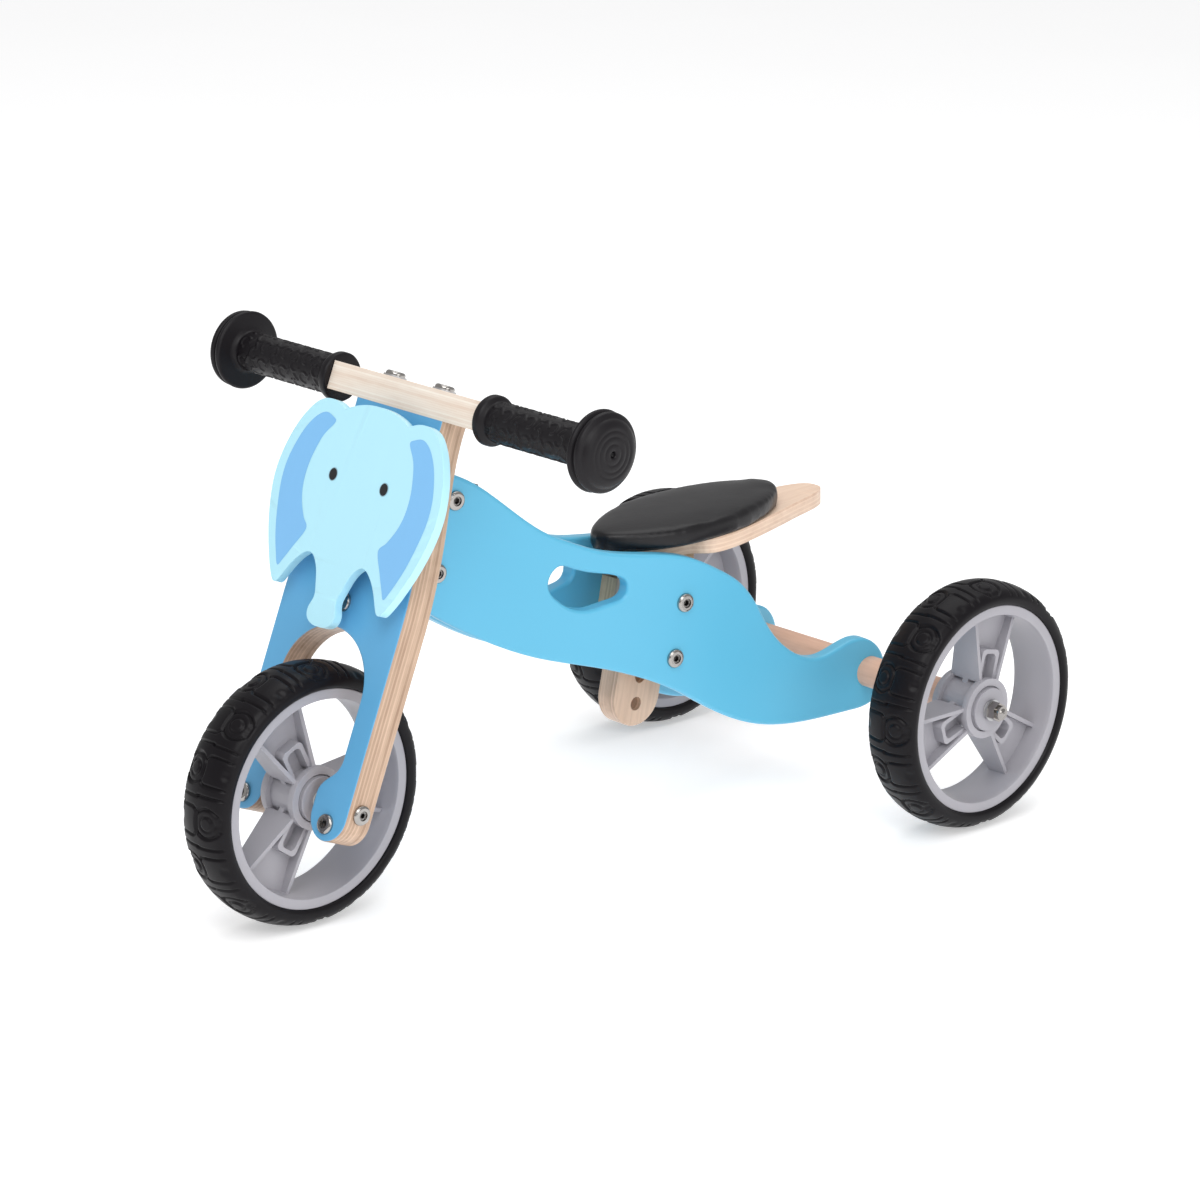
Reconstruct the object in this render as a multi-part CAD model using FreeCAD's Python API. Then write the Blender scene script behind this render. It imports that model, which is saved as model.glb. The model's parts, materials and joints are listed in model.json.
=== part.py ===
import FreeCAD, Part
from FreeCAD import Rotation, Vector
import math
import os

# A child's wooden ride-on: two flared side boards, a tilted fork board with one front
# wheel, a handlebar with rubber grips, a padded seat on a post, and two rear wheels.
# Millimetres. +X is forward, +Y is the rider's left, +Z is up, the floor is z = 0.

# ---- driving dimensions ----
WHEEL_BASE = 513.0
TYRE_RADIUS = 95.0
REAR_TRACK = 333.0
FORK_RAKE = 21.0
FORK_THICK = 24.0
SIDE_THICK = 12.0
SIDE_FLARE = 6.73
SIDE_OFFSET = 32.8
HANDLEBAR_WIDTH = 402.0
SEAT_HEIGHT = 222.2
SEAT_PITCH = 3.0
POST_LEAN = 11.0
CLEARANCE = 0.05

# ---- wheels ----
RIM_WIDTH = 40.0
RIM_LIP_R = 80.0
RIM_BED_R = 77.0
RIM_INNER_R = 70.0
TYRE_HALF_WIDTH = 22.3
AXLE_R = 4.0
BUSH_R = 7.0
BUSH_HALF = 21.5
HUB_BOSS_R = 23.0
HUB_BOSS_HALF = 17.5
HUB_DRUM_R = 19.0
CAP_R = 16.5
CAP_THICK = 3.0
CAP_GROOVE = 1.2
CAP_GROOVE_DEPTH = 2.5
SPOKE_COUNT = 3
SPOKE_ANGLES = {"front": 64.0, "rear_left": 102.0, "rear_right": 40.0}

# ---- fork, in its own frame: n forward of the board, y left, v up the board from the axle ----
FORK_TOP_V = 277.0
FORK_HALF = 63.5
FORK_TOP_HALF = 45.5
LEG_INNER = 43.5
FOOT_INNER = 26.5
ARCH_V = 75.0
BAR_HEIGHT = 20.6
BAR_BLOCK_HALF = 78.0
BAR_END_R = 10.0
FACE_THICK = 7.0
FACE_GAP = 11.0
LEG_BOLT_V = -13.0

# ---- steering ----
STEER_N = -26.0
HEAD_LOW_V = 150.0
HEAD_HIGH_V = 243.0
HEAD_TUBE_R = 10.0
HEAD_BUSH_R = 8.0
PIN_R = 5.0
LUG_GAP = 2.0
LUG_EYE = 5.5
LUG_EYE_R = 10.5
LUG_BASE = 5.0
LUG_HEIGHT = 23.0
LUG_BOLT_DROP = 11.0
SIDE_FRONT_N = -36.5

# ---- seat, in its own frame: x forward, y left, z up from the board's top ----
SEAT_X = -100.0
SEAT_BOARD_THICK = 12.0
PAD_BASE_THICK = 2.0
PAD_THICK = 18.5
CLEAT_DROP = 16.0
CLEAT_THICK = 12.0

# ---- seat post, in its own frame: z up the post from its lowest point ----
POST_FOOT = Vector(-56.5, 0, 79.5)
POST_WIDTH = 47.0
POST_THICK = 18.0
POST_LENGTH = 150.0
POST_HOLE_R = 5.3
POST_HOLE_FIRST = 17.3
POST_HOLE_PITCH = 21.2
POST_HOLES = 5
POST_FIXED_HOLES = (2, 4)
CHEEK_RANGE = (45.0, 108.0)
CHEEK_HALF = 20.0

# ---- fasteners and rear axle ----
BOLT_R = 3.0
HEAD_R = 7.2
HEAD_H = 3.0
DOWEL_R = 12.0
DOWEL_HALF = 142.0

FRONT_X = WHEEL_BASE / 2
REAR_X = -WHEEL_BASE / 2
AXLE_Z = TYRE_RADIUS
HALF_FORK = FORK_THICK / 2
BAR_V = FORK_TOP_V + BAR_HEIGHT / 2
BIG = 600.0
X_AXIS = Vector(1, 0, 0)
Y_AXIS = Vector(0, 1, 0)
Z_AXIS = Vector(0, 0, 1)
ORIGIN = Vector(0, 0, 0)


# ---- general helpers ----
def save(name, solids):
    """Writes one sub-part, one or more separate solids, to its STEP file."""
    bodies = []
    for solid in solids:
        bodies.extend(solid.Solids)
    Part.makeCompound(bodies).exportStep(os.path.join("parts", name + ".step"))


def rod(radius, start, direction, length):
    """A cylinder from a start point along a direction."""
    return Part.makeCylinder(radius, length, start, direction)


def ring_y(outer, inner, y_low, y_high):
    """A ring about the Y axis."""
    low = Vector(0, y_low, 0)
    length = y_high - y_low
    return rod(outer, low, Y_AXIS, length).cut(rod(inner, low, Y_AXIS, length))


def turned_y(profile):
    """A solid turned about the Y axis from (radius, y) points."""
    points = [Vector(radius, y, 0) for radius, y in profile]
    face = Part.Face(Part.makePolygon(points + points[:1]))
    return face.revolve(ORIGIN, Y_AXIS, 360)


def aimed(shape, point, direction):
    """A shape made about +Z at the origin, placed with +Z along a direction."""
    placed = shape.copy()
    placed.Placement = FreeCAD.Placement(point, Rotation(Z_AXIS, direction))
    return placed


def mirrored(shape):
    """The same shape on the other side of the middle plane."""
    return shape.mirror(ORIGIN, Y_AXIS)


def hexagon(across_flats, height, low):
    """A hexagonal prism about +Z."""
    radius = across_flats / math.sqrt(3)
    corners = [Vector(radius * math.cos(math.radians(60 * k + 30)),
                      radius * math.sin(math.radians(60 * k + 30)), low) for k in range(7)]
    return Part.Face(Part.makePolygon(corners)).extrude(Vector(0, 0, height))


def socket_bolt(length, shank_r=BOLT_R, head_r=HEAD_R, head_h=HEAD_H):
    """A low flange bolt: its head stands on z = 0, its shank goes down, with a hexagon socket."""
    outline = [Vector(0, 0, 0), Vector(head_r, 0, 0), Vector(head_r, 0, head_h * 0.3),
               Vector(head_r * 0.66, 0, head_h), Vector(head_r * 0.5, 0, head_h),
               Vector(head_r * 0.45, 0, head_h * 0.66), Vector(0, 0, head_h * 0.66)]
    edges = run(outline[:3]) + run(outline[3:] + outline[:1])
    shoulder = Vector(head_r * 0.92, 0, head_h * 0.78)
    edges.append(Part.Arc(outline[2], shoulder, outline[3]).toShape())
    head = closed_face(edges).revolve(ORIGIN, Z_AXIS, 360)
    shank = Part.makeCylinder(shank_r, length, Vector(0, 0, -length))
    socket = hexagon(shank_r * 1.35, head_h, head_h * 0.1)
    return head.fuse(shank).cut(socket).removeSplitter()


def wood_screw(length, radius=2.0, head_r=3.8):
    """A countersunk screw with its head flush with z = 0 and its shank going down."""
    head = Part.makeCone(radius, head_r, head_r - radius, Vector(0, 0, radius - head_r))
    shank = Part.makeCylinder(radius, length, Vector(0, 0, -length))
    socket = hexagon(2.5, 1.4, -1.2)
    return head.fuse(shank).cut(socket).removeSplitter()


def screw_hole(length, radius=2.0, head_r=3.8):
    """The space that a countersunk screw takes."""
    return wood_screw(length, radius + CLEARANCE, head_r + CLEARANCE).fuse(
        Part.makeCylinder(radius, length, Vector(0, 0, -length)))


def smooth(points):
    """One smooth edge through points."""
    curve = Part.BSplineCurve()
    curve.interpolate(points)
    return curve.toShape()


def run(points):
    """Straight edges through points."""
    return Part.makePolygon(points).Edges


def closed_face(edges):
    """A flat face inside a loop of edges."""
    return Part.Face(Part.Wire(Part.__sortEdges__(edges)))


def rounded(solid, radius, test):
    """Rounds the edges that pass a test of their middle point."""
    chosen = []
    for edge in solid.Edges:
        middle = edge.valueAt((edge.FirstParameter + edge.LastParameter) / 2)
        if test(middle):
            chosen.append(edge)
    return solid.makeFillet(radius, chosen)


# ---- frames of reference ----
def in_fork(shape):
    """Moves a shape from the fork's own frame (n, y, v) to the bike."""
    placed = shape.copy()
    placed.rotate(ORIGIN, Y_AXIS, -FORK_RAKE)
    placed.translate(Vector(FRONT_X, 0, AXLE_Z))
    return placed


def in_seat(shape):
    """Moves a shape from the seat's own frame to the bike."""
    placed = shape.copy()
    placed.rotate(ORIGIN, Y_AXIS, SEAT_PITCH)
    placed.translate(Vector(SEAT_X, 0, SEAT_HEIGHT))
    return placed


def in_post(shape):
    """Moves a shape from the seat post's own frame to the bike."""
    placed = shape.copy()
    placed.rotate(ORIGIN, Y_AXIS, -POST_LEAN)
    placed.translate(POST_FOOT)
    return placed


def on_side(shape):
    """Moves a shape from the left side board's own frame, where y = 0 is its outer face."""
    placed = shape.copy()
    placed.rotate(ORIGIN, Z_AXIS, -SIDE_FLARE)
    placed.translate(Vector(0, SIDE_OFFSET, 0))
    return placed


def side_point(x, z):
    """A point of the side board's own frame, from where it lies on the bike."""
    return Vector(x / math.cos(math.radians(SIDE_FLARE)), 0, z)


def side_inner_y(x):
    """How far from the middle plane the side board's inner face is."""
    flare = math.radians(SIDE_FLARE)
    return SIDE_OFFSET - x * math.tan(flare) - SIDE_THICK / math.cos(flare)


def fork_point(n, v):
    """A point on the middle plane of the bike, from the fork's own frame."""
    rake = math.radians(FORK_RAKE)
    return Vector(FRONT_X + n * math.cos(rake) - v * math.sin(rake), 0,
                  AXLE_Z + n * math.sin(rake) + v * math.cos(rake))


def post_point(height):
    """A point on the seat post's centre line."""
    lean = math.radians(POST_LEAN)
    return POST_FOOT + Vector(-height * math.sin(lean), 0, height * math.cos(lean))


def post_hole(index):
    """Where one of the post's height holes is."""
    return post_point(POST_HOLE_FIRST + POST_HOLE_PITCH * index)


def head_bolt_points():
    """Where the two head bolts go through the side boards, as (n, v) of the fork's frame."""
    return [fork_point(-48, 226), fork_point(-52.5, 173)]


# ---- side boards ----
SIDE_TOP = [(118, 301), (92, 283), (65, 262), (48, 251), (30, 242.5), (3, 231.5), (-43, 221.5),
            (-80, 213.5), (-108, 200), (-128, 187), (-143, 170), (-158, 146), (-178, 125.5),
            (-207, 114.5), (-232, 121), (-246, 123), (-259, 118.5), (-269, 108), (-273, 94),
            (-270.5, 79), (-259.5, 69), (-240, 66)]
SIDE_BOTTOM = [(-190, 65.5), (-151, 71), (-112, 87), (-74, 110), (-37, 128), (0, 141.5),
               (55, 158.5), (108, 182.5), (143, 203)]
GRIP_HOLE = [(-23.5, 200), (-21, 193.5), (-8, 190), (8, 188), (24, 190.5), (38, 199), (47.5, 212),
             (46, 219), (38, 225), (28, 222.5), (8, 215.5), (-12, 210.5), (-20, 206.5)]


def side_board():
    """The left side board, with a hand hole."""
    top_corner = fork_point(SIDE_FRONT_N, 243)
    low_corner = fork_point(SIDE_FRONT_N, 149)
    outline = [(top_corner.x, top_corner.z)] + SIDE_TOP + SIDE_BOTTOM + [(low_corner.x, low_corner.z)]
    points = [side_point(x, z) for x, z in outline]
    face = closed_face([smooth(points), Part.makeLine(points[-1], points[0])])
    hole_points = [side_point(x, z) for x, z in GRIP_HOLE]
    hole_curve = Part.BSplineCurve()
    hole_curve.interpolate(hole_points, PeriodicFlag=True)
    hole = Part.Face(Part.Wire([hole_curve.toShape()]))
    board = face.extrude(Vector(0, -SIDE_THICK, 0)).cut(hole.extrude(Vector(0, -SIDE_THICK, 0)))
    for corner in (points[0], points[-1]):
        board = rounded(board, 5, lambda p, c=corner: abs(p.x - c.x) < 0.5 and abs(p.z - c.z) < 0.5)
    board = rounded(board, 2.5, lambda p: abs(p.y) < 0.01 or abs(p.y + SIDE_THICK) < 0.01)
    for point in side_bolt_points():
        start = side_point(point.x, point.z) - Vector(0, SIDE_THICK, 0)
        board = board.cut(rod(BOLT_R + 0.2, start, Y_AXIS, SIDE_THICK))
    board = on_side(board)
    dowel = rod(DOWEL_R + CLEARANCE, Vector(REAR_X, 0, AXLE_Z), Y_AXIS, DOWEL_HALF)
    return board.cut(dowel)


def side_bolt_points():
    """The four bolts of a side board: two into the steering head, two into the cheek block."""
    return head_bolt_points() + [post_hole(index) for index in POST_FIXED_HOLES]


def side_bolts(points, length):
    """Bolts square to both side boards."""
    left = []
    for point in points:
        bolt = aimed(socket_bolt(length), side_point(point.x, point.z), Y_AXIS)
        left.append(on_side(bolt))
    return left + [mirrored(bolt) for bolt in left]


def side_bolt_holes(points, length):
    """The holes that bolts square to both side boards need."""
    holes = []
    for point in points:
        start = side_point(point.x, point.z) - Vector(0, length + 0.3, 0)
        hole = on_side(rod(BOLT_R + CLEARANCE, start, Y_AXIS, length + 0.3))
        holes.extend([hole, mirrored(hole)])
    return holes


def between_sides(x_low, x_high, z_low, z_high):
    """A block that fills the space between the side boards' inner faces."""
    corners = [Vector(x_low, -side_inner_y(x_low), z_low), Vector(x_high, -side_inner_y(x_high), z_low),
               Vector(x_high, side_inner_y(x_high), z_low), Vector(x_low, side_inner_y(x_low), z_low)]
    return Part.Face(Part.makePolygon(corners + corners[:1])).extrude(Vector(0, 0, z_high - z_low))


HEAD_BOLT_LENGTH = SIDE_THICK + 3.0
CHEEK_BOLT_LENGTH = SIDE_THICK + 11.0


# ---- steering head and hinge ----
def steering_head():
    """A cast head: a tube for the steering pin, with a wedge clamped between the side boards."""
    height = HEAD_HIGH_V - HEAD_LOW_V
    box = Part.makeBox(44, 80, height - 4, Vector(-74, -40, HEAD_LOW_V + 2))
    wedge = between_sides(80, 172, 150, 330).common(in_fork(box))
    axis_low = Vector(STEER_N, 0, HEAD_LOW_V)
    tube = in_fork(rod(HEAD_TUBE_R, axis_low, Z_AXIS, height))
    bore = in_fork(rod(HEAD_BUSH_R, axis_low, Z_AXIS, height))
    head = wedge.fuse(tube).cut(bore)
    for hole in side_bolt_holes(head_bolt_points(), HEAD_BOLT_LENGTH):
        head = head.cut(hole)
    return head


def head_bushes():
    """Two flanged bushes, one pressed in each end of the steering tube."""
    depth = 14.0
    flange = 1.8
    bushes = []
    for end_v, inward in ((HEAD_LOW_V, 1), (HEAD_HIGH_V, -1)):
        end = Vector(STEER_N, 0, end_v)
        body = rod(HEAD_BUSH_R, end, Z_AXIS * inward, depth)
        body = body.fuse(rod(HEAD_TUBE_R - 0.2, end, Z_AXIS * -inward, flange))
        start = Vector(STEER_N, 0, end_v - inward * flange)
        bushes.append(in_fork(body.cut(rod(PIN_R + CLEARANCE, start, Z_AXIS * inward, depth + flange))))
    return bushes


def steering_lugs():
    """The fork's two lugs: a base plate on the board and an eye for the pin."""
    lugs = []
    for end_v, outward in ((HEAD_LOW_V - LUG_GAP, -1), (HEAD_HIGH_V + LUG_GAP, 1)):
        eye_low = min(end_v, end_v + outward * LUG_EYE)
        base_low = min(end_v, end_v + outward * LUG_HEIGHT)
        base = Part.makeBox(LUG_BASE, 30, LUG_HEIGHT, Vector(-HALF_FORK - LUG_BASE, -15, base_low))
        reach = -HALF_FORK - LUG_BASE - STEER_N
        eye = Part.makeBox(reach, 2 * LUG_EYE_R, LUG_EYE, Vector(STEER_N, -LUG_EYE_R, eye_low))
        eye = eye.fuse(rod(LUG_EYE_R, Vector(STEER_N, 0, eye_low), Z_AXIS, LUG_EYE))
        lug = base.fuse(eye)
        lug = lug.cut(rod(PIN_R + CLEARANCE, Vector(STEER_N, 0, eye_low), Z_AXIS, LUG_EYE))
        bolt_v = end_v + outward * LUG_BOLT_DROP
        start = Vector(-HALF_FORK - LUG_BASE, 0, bolt_v)
        lugs.append(in_fork(lug.cut(rod(BOLT_R + CLEARANCE, start, X_AXIS, LUG_BASE))))
    return lugs


def lug_bolt_heights():
    """Where the lug bolts cross the fork board."""
    return (HEAD_LOW_V - LUG_GAP - LUG_BOLT_DROP, HEAD_HIGH_V + LUG_GAP + LUG_BOLT_DROP)


def lug_bolts():
    """One bolt through the fork board into each lug."""
    length = FORK_THICK + LUG_BASE - 0.4
    return [in_fork(aimed(socket_bolt(length), Vector(HALF_FORK, 0, v), X_AXIS))
            for v in lug_bolt_heights()]


def steering_pin():
    """The pin that the fork turns on, headed below the lower lug."""
    low = HEAD_LOW_V - LUG_GAP - LUG_EYE
    high = HEAD_HIGH_V + LUG_GAP + LUG_EYE + 8.5
    shaft = rod(PIN_R, Vector(STEER_N, 0, low), Z_AXIS, high - low)
    head = rod(8.0, Vector(STEER_N, 0, low - 4.0), Z_AXIS, 4.0)
    return in_fork(shaft.fuse(head))


def steering_pin_nut():
    """A washer and a lock nut above the upper lug."""
    low = HEAD_HIGH_V + LUG_GAP + LUG_EYE
    washer = rod(8.2, Vector(STEER_N, 0, low), Z_AXIS, 1.2)
    nut = hexagon(15, 6.5, 0)
    nut.translate(Vector(STEER_N, 0, low + 1.2))
    bore = rod(PIN_R + CLEARANCE, Vector(STEER_N, 0, low), Z_AXIS, 8)
    return [in_fork(washer.cut(bore)), in_fork(nut.cut(bore))]


# ---- fork board and handlebar ----
FORK_EDGE = [(47.5, 245), (56.5, 200), (62.3, 158), (FORK_HALF, 125)]
FOOT_EDGE = [(FOOT_INNER, 4), (28, 11), (33.5, 17.5), (40, 23.5), (43, 30), (LEG_INNER, 37)]
BAR_BOLT_Y = 26.0
BARREL_V = FORK_TOP_V - 26.0
BARREL_R = 5.0


def yv(y, v):
    """A point on the fork's middle plane, in the fork's own frame."""
    return Vector(0, y, v)


def fork_half_edges(side):
    """The edges of one half of the fork's outline, from its top to its arch."""
    foot_v = -(FORK_HALF - FOOT_INNER) / 2 + 12.0
    foot_mid = (FORK_HALF + FOOT_INNER) / 2
    foot_r = (FORK_HALF - FOOT_INNER) / 2
    outer = [yv(side * FORK_TOP_HALF, FORK_TOP_V)] + [yv(side * y, v) for y, v in FORK_EDGE]
    inner = [yv(side * y, v) for y, v in FOOT_EDGE]
    foot = Part.Arc(yv(side * FORK_HALF, foot_v), yv(side * foot_mid, foot_v - foot_r),
                    yv(side * FOOT_INNER, foot_v)).toShape()
    return [smooth(outer), Part.makeLine(outer[-1], yv(side * FORK_HALF, foot_v)), foot,
            Part.makeLine(yv(side * FOOT_INNER, foot_v), inner[0]), smooth(inner),
            Part.makeLine(inner[-1], yv(side * LEG_INNER, ARCH_V))]


def face_screw_points():
    """Where screws go from the fork's back into the face board."""
    return [(side * FACE_RAIL_Y, v) for side in (-1, 1) for v in (188, 226)]


def fork_board():
    """The fork: one thick plywood board with an arch over the wheel and two legs."""
    arch = Part.Arc(yv(LEG_INNER, ARCH_V), yv(0, ARCH_V + LEG_INNER), yv(-LEG_INNER, ARCH_V)).toShape()
    top = Part.makeLine(yv(FORK_TOP_HALF, FORK_TOP_V), yv(-FORK_TOP_HALF, FORK_TOP_V))
    face = closed_face(fork_half_edges(1) + fork_half_edges(-1) + [arch, top])
    face.translate(Vector(-HALF_FORK, 0, 0))
    board = face.extrude(Vector(FORK_THICK, 0, 0))
    board = rounded(board, 1.5, lambda p: abs(abs(p.x) - HALF_FORK) < 0.01 and p.z < FORK_TOP_V - 1)
    back = Vector(-HALF_FORK, 0, 0)
    for v in lug_bolt_heights():
        board = board.cut(rod(BOLT_R + 0.2, back + yv(0, v), X_AXIS, FORK_THICK))
    for side in (-1, 1):
        leg_y = side * (FORK_HALF + FOOT_INNER) / 2
        board = board.cut(rod(BOLT_R + 0.2, back + yv(leg_y, LEG_BOLT_V), X_AXIS, FORK_THICK))
        bolt = rod(BOLT_R + 0.2, yv(side * BAR_BOLT_Y, BARREL_V - 8), Z_AXIS, 40)
        barrel = rod(BARREL_R + CLEARANCE, back + yv(side * BAR_BOLT_Y, BARREL_V), X_AXIS, 16)
        board = board.cut(bolt).cut(barrel)
    for y, v in face_screw_points():
        hole = aimed(screw_hole(FORK_THICK), back + yv(y, v), -X_AXIS)
        board = board.cut(hole)
    board = board.cut(rod(AXLE_R + 0.1, yv(-80, 0), Y_AXIS, 160))
    return in_fork(board)


def handlebar():
    """A plywood bar, square over the fork and turned round under the grips."""
    block = Part.makeBox(FORK_THICK, 2 * BAR_BLOCK_HALF, BAR_HEIGHT,
                         Vector(-HALF_FORK, -BAR_BLOCK_HALF, FORK_TOP_V))
    ends = rod(BAR_END_R, yv(-HANDLEBAR_WIDTH / 2 + 11, BAR_V), Y_AXIS, HANDLEBAR_WIDTH - 22)
    bar = block.fuse(ends)
    for side in (-1, 1):
        bar = bar.cut(rod(BOLT_R + 0.2, yv(side * BAR_BOLT_Y, FORK_TOP_V), Z_AXIS, BAR_HEIGHT))
    return in_fork(bar)


def handlebar_fasteners():
    """The two handlebar bolts, their washers, and the barrel nuts in the fork board."""
    top = FORK_TOP_V + BAR_HEIGHT
    washer_h = 1.2
    bolts = []
    washers = []
    barrels = []
    for side in (-1, 1):
        y = side * BAR_BOLT_Y
        washer = rod(8.5, yv(y, top), Z_AXIS, washer_h)
        washers.append(in_fork(washer.cut(rod(BOLT_R + 0.2, yv(y, top), Z_AXIS, washer_h))))
        length = top + washer_h - BARREL_V + 4
        bolts.append(in_fork(aimed(socket_bolt(length), yv(y, top + washer_h), Z_AXIS)))
        barrel = rod(BARREL_R, Vector(-HALF_FORK + 0.5, y, BARREL_V), X_AXIS, 15)
        hole = rod(BOLT_R + CLEARANCE, yv(y, BARREL_V - 8), Z_AXIS, 16)
        barrels.append(in_fork(barrel.cut(hole)))
    return bolts, washers, barrels


def grip():
    """The left rubber grip: an inner flange, a tube, two guard rings and a closed end."""
    end = HANDLEBAR_WIDTH / 2
    bore = BAR_END_R + CLEARANCE
    profile = [(bore, 78.3), (17, 78.3), (18, 79.5), (18, 83), (16.5, 85), (14, 86.5), (14, 181),
               (16, 183.5), (27, 184), (28.7, 185), (28.7, 187), (27.5, 188), (25, 188.4),
               (25, 190), (27, 190.4), (28, 191.4), (28, 193.6), (27, 194.8), (24.5, 195.4),
               (23.5, 197.5), (20, 199.6), (10, 200.8), (0, end), (0, 190.4), (bore, 190.4)]
    return turned_y(profile)


def grip_in_place():
    """The left grip on the handlebar."""
    placed = grip()
    placed.translate(yv(0, BAR_V))
    return in_fork(placed)


# ---- front face board ----
FACE_RAIL_Y = 25.0
FACE_HEAD = [(0, 274.5), (14, 273.3), (25, 270.3), (33.5, 266.3)]
FACE_EAR = [(33.5, 266.3), (40, 269.5), (50, 271), (59, 269), (69, 260.5), (78, 246), (84, 228),
            (86, 210), (83.5, 192), (77, 171.5), (69, 154), (61, 140.5), (56.5, 136.3), (52.5, 138.5)]
FACE_TRUNK = [(52.5, 138.5), (46.5, 148.5), (38, 159), (28, 164), (19, 157), (13.3, 143.5),
              (11.6, 134.5), (14.2, 127.5), (13, 120.5), (7.5, 116.8), (0, 116)]


def face_board():
    """The flat front board, cut to an elephant's head."""
    edges = []
    for side in (-1, 1):
        for stretch in (FACE_HEAD, FACE_EAR, FACE_TRUNK):
            edges.append(smooth([yv(side * y, v) for y, v in stretch]))
    face = closed_face(edges)
    low = HALF_FORK + FACE_GAP
    face.translate(Vector(low, 0, 0))
    board = face.extrude(Vector(FACE_THICK, 0, 0))
    for y, v in face_screw_points():
        board = board.cut(rod(2.0, Vector(low, y, v), X_AXIS, FACE_THICK - 1.5))
    return in_fork(board)


def face_rails():
    """Two wooden rails that hold the face board off the fork."""
    rails = []
    for side in (-1, 1):
        rail = Part.makeBox(FACE_GAP, 16, 64, Vector(HALF_FORK, side * FACE_RAIL_Y - 8, 175))
        for y, v in face_screw_points():
            rail = rail.cut(rod(2.0, Vector(HALF_FORK, y, v), X_AXIS, FACE_GAP))
        rails.append(in_fork(rail))
    return rails


def face_screws():
    """Four screws from the fork's back through the rails into the face board."""
    length = FORK_THICK + FACE_GAP + FACE_THICK - 2
    screws = []
    for y, v in face_screw_points():
        screws.append(in_fork(aimed(wood_screw(length, 1.95), Vector(-HALF_FORK, y, v), -X_AXIS)))
    return screws


# ---- leg bolts and front axle ----
def leg_fasteners():
    """A bolt across the foot of each leg, with a flanged nut behind it."""
    bolts = []
    nuts = []
    for side in (-1, 1):
        y = side * (FORK_HALF + FOOT_INNER) / 2
        front = Vector(HALF_FORK, y, LEG_BOLT_V)
        bolts.append(in_fork(aimed(socket_bolt(FORK_THICK + 1.5), front, X_AXIS)))
        back = Vector(-HALF_FORK - 2.0, y, LEG_BOLT_V)
        nut = rod(8.0, back, X_AXIS, 2.0).cut(rod(BOLT_R + CLEARANCE, back, X_AXIS, 2.0))
        nuts.append(in_fork(nut))
    return bolts, nuts


def front_axle():
    """The front axle, tapped at both ends."""
    half = 56.0
    axle = rod(AXLE_R, yv(-half, 0), Y_AXIS, 2 * half)
    for side in (-1, 1):
        axle = axle.cut(rod(2.55, yv(side * half, 0), Y_AXIS * -side, 16))
    return in_fork(axle)


def front_axle_bolts():
    """A bolt into each end of the front axle, with its flange on the leg."""
    bolts = []
    for side in (-1, 1):
        bolt = socket_bolt(18.0, 2.5, HEAD_R, HEAD_H)
        bolts.append(in_fork(aimed(bolt, yv(side * FORK_HALF, 0), Y_AXIS * side)))
    return bolts


def front_axle_spacers():
    """A sleeve each side between the hub and the leg."""
    left = ring_y(7.0, AXLE_R + 0.1, BUSH_HALF + 0.4, FOOT_INNER - 0.15)
    return [in_fork(left), in_fork(mirrored(left))]


# ---- wheels, about the Y axis at the origin ----
def spoke():
    """One channel spoke along +X: a web, two edge ribs, and a raised loop near the hub."""
    near, far = 19.0, 71.5
    near_half, far_half = 10.5, 24.0
    outline = [Vector(near, 0, -near_half), Vector(far, 0, -far_half),
               Vector(far, 0, far_half), Vector(near, 0, near_half)]
    outline = [Vector(12, 0, -near_half)] + outline + [Vector(12, 0, near_half)]
    web = Part.Face(Part.makePolygon(outline + outline[:1]))
    web.translate(Vector(0, -2.5, 0))
    web = web.extrude(Vector(0, 5.0, 0))
    lean = math.degrees(math.atan2(far_half - near_half, far - near))
    solid = web
    for side in (-1, 1):
        rib = [Vector(0, -14.5, 0), Vector(54, -8, 0), Vector(54, 8, 0), Vector(0, 14.5, 0)]
        rib = Part.Face(Part.makePolygon(rib + rib[:1])).extrude(Vector(0, 0, -3.0 * side))
        rib.rotate(ORIGIN, Y_AXIS, -lean * side)
        rib.translate(Vector(near, 0, side * near_half))
        solid = solid.fuse(rib)
    return solid.fuse(spoke_loop(9.5, 44.0, 11.5).cut(spoke_loop(6.3, 40.8, 12.0)))


def spoke_loop(half_width, reach, half_height):
    """A rounded tongue along +X, used to make the raised loop."""
    corner = 4.0
    box = Part.makeBox(reach - 21, 2 * half_height, 2 * half_width, Vector(21, -half_height, -half_width))
    return rounded(box, corner, lambda p: abs(p.x - reach) < 0.01 and abs(abs(p.z) - half_width) < 0.01)


def rim():
    """The rim's ring, with a lip each side of the tyre's bed."""
    half = RIM_WIDTH / 2
    lip = half - 3.0
    return turned_y([(RIM_LIP_R, -half), (RIM_LIP_R, -lip), (RIM_BED_R, -lip), (RIM_BED_R, lip),
                     (RIM_LIP_R, lip), (RIM_LIP_R, half), (RIM_INNER_R + 2.5, half),
                     (RIM_INNER_R + 1, 6), (RIM_INNER_R + 1, -6), (RIM_INNER_R + 2.5, -half)])


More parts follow.
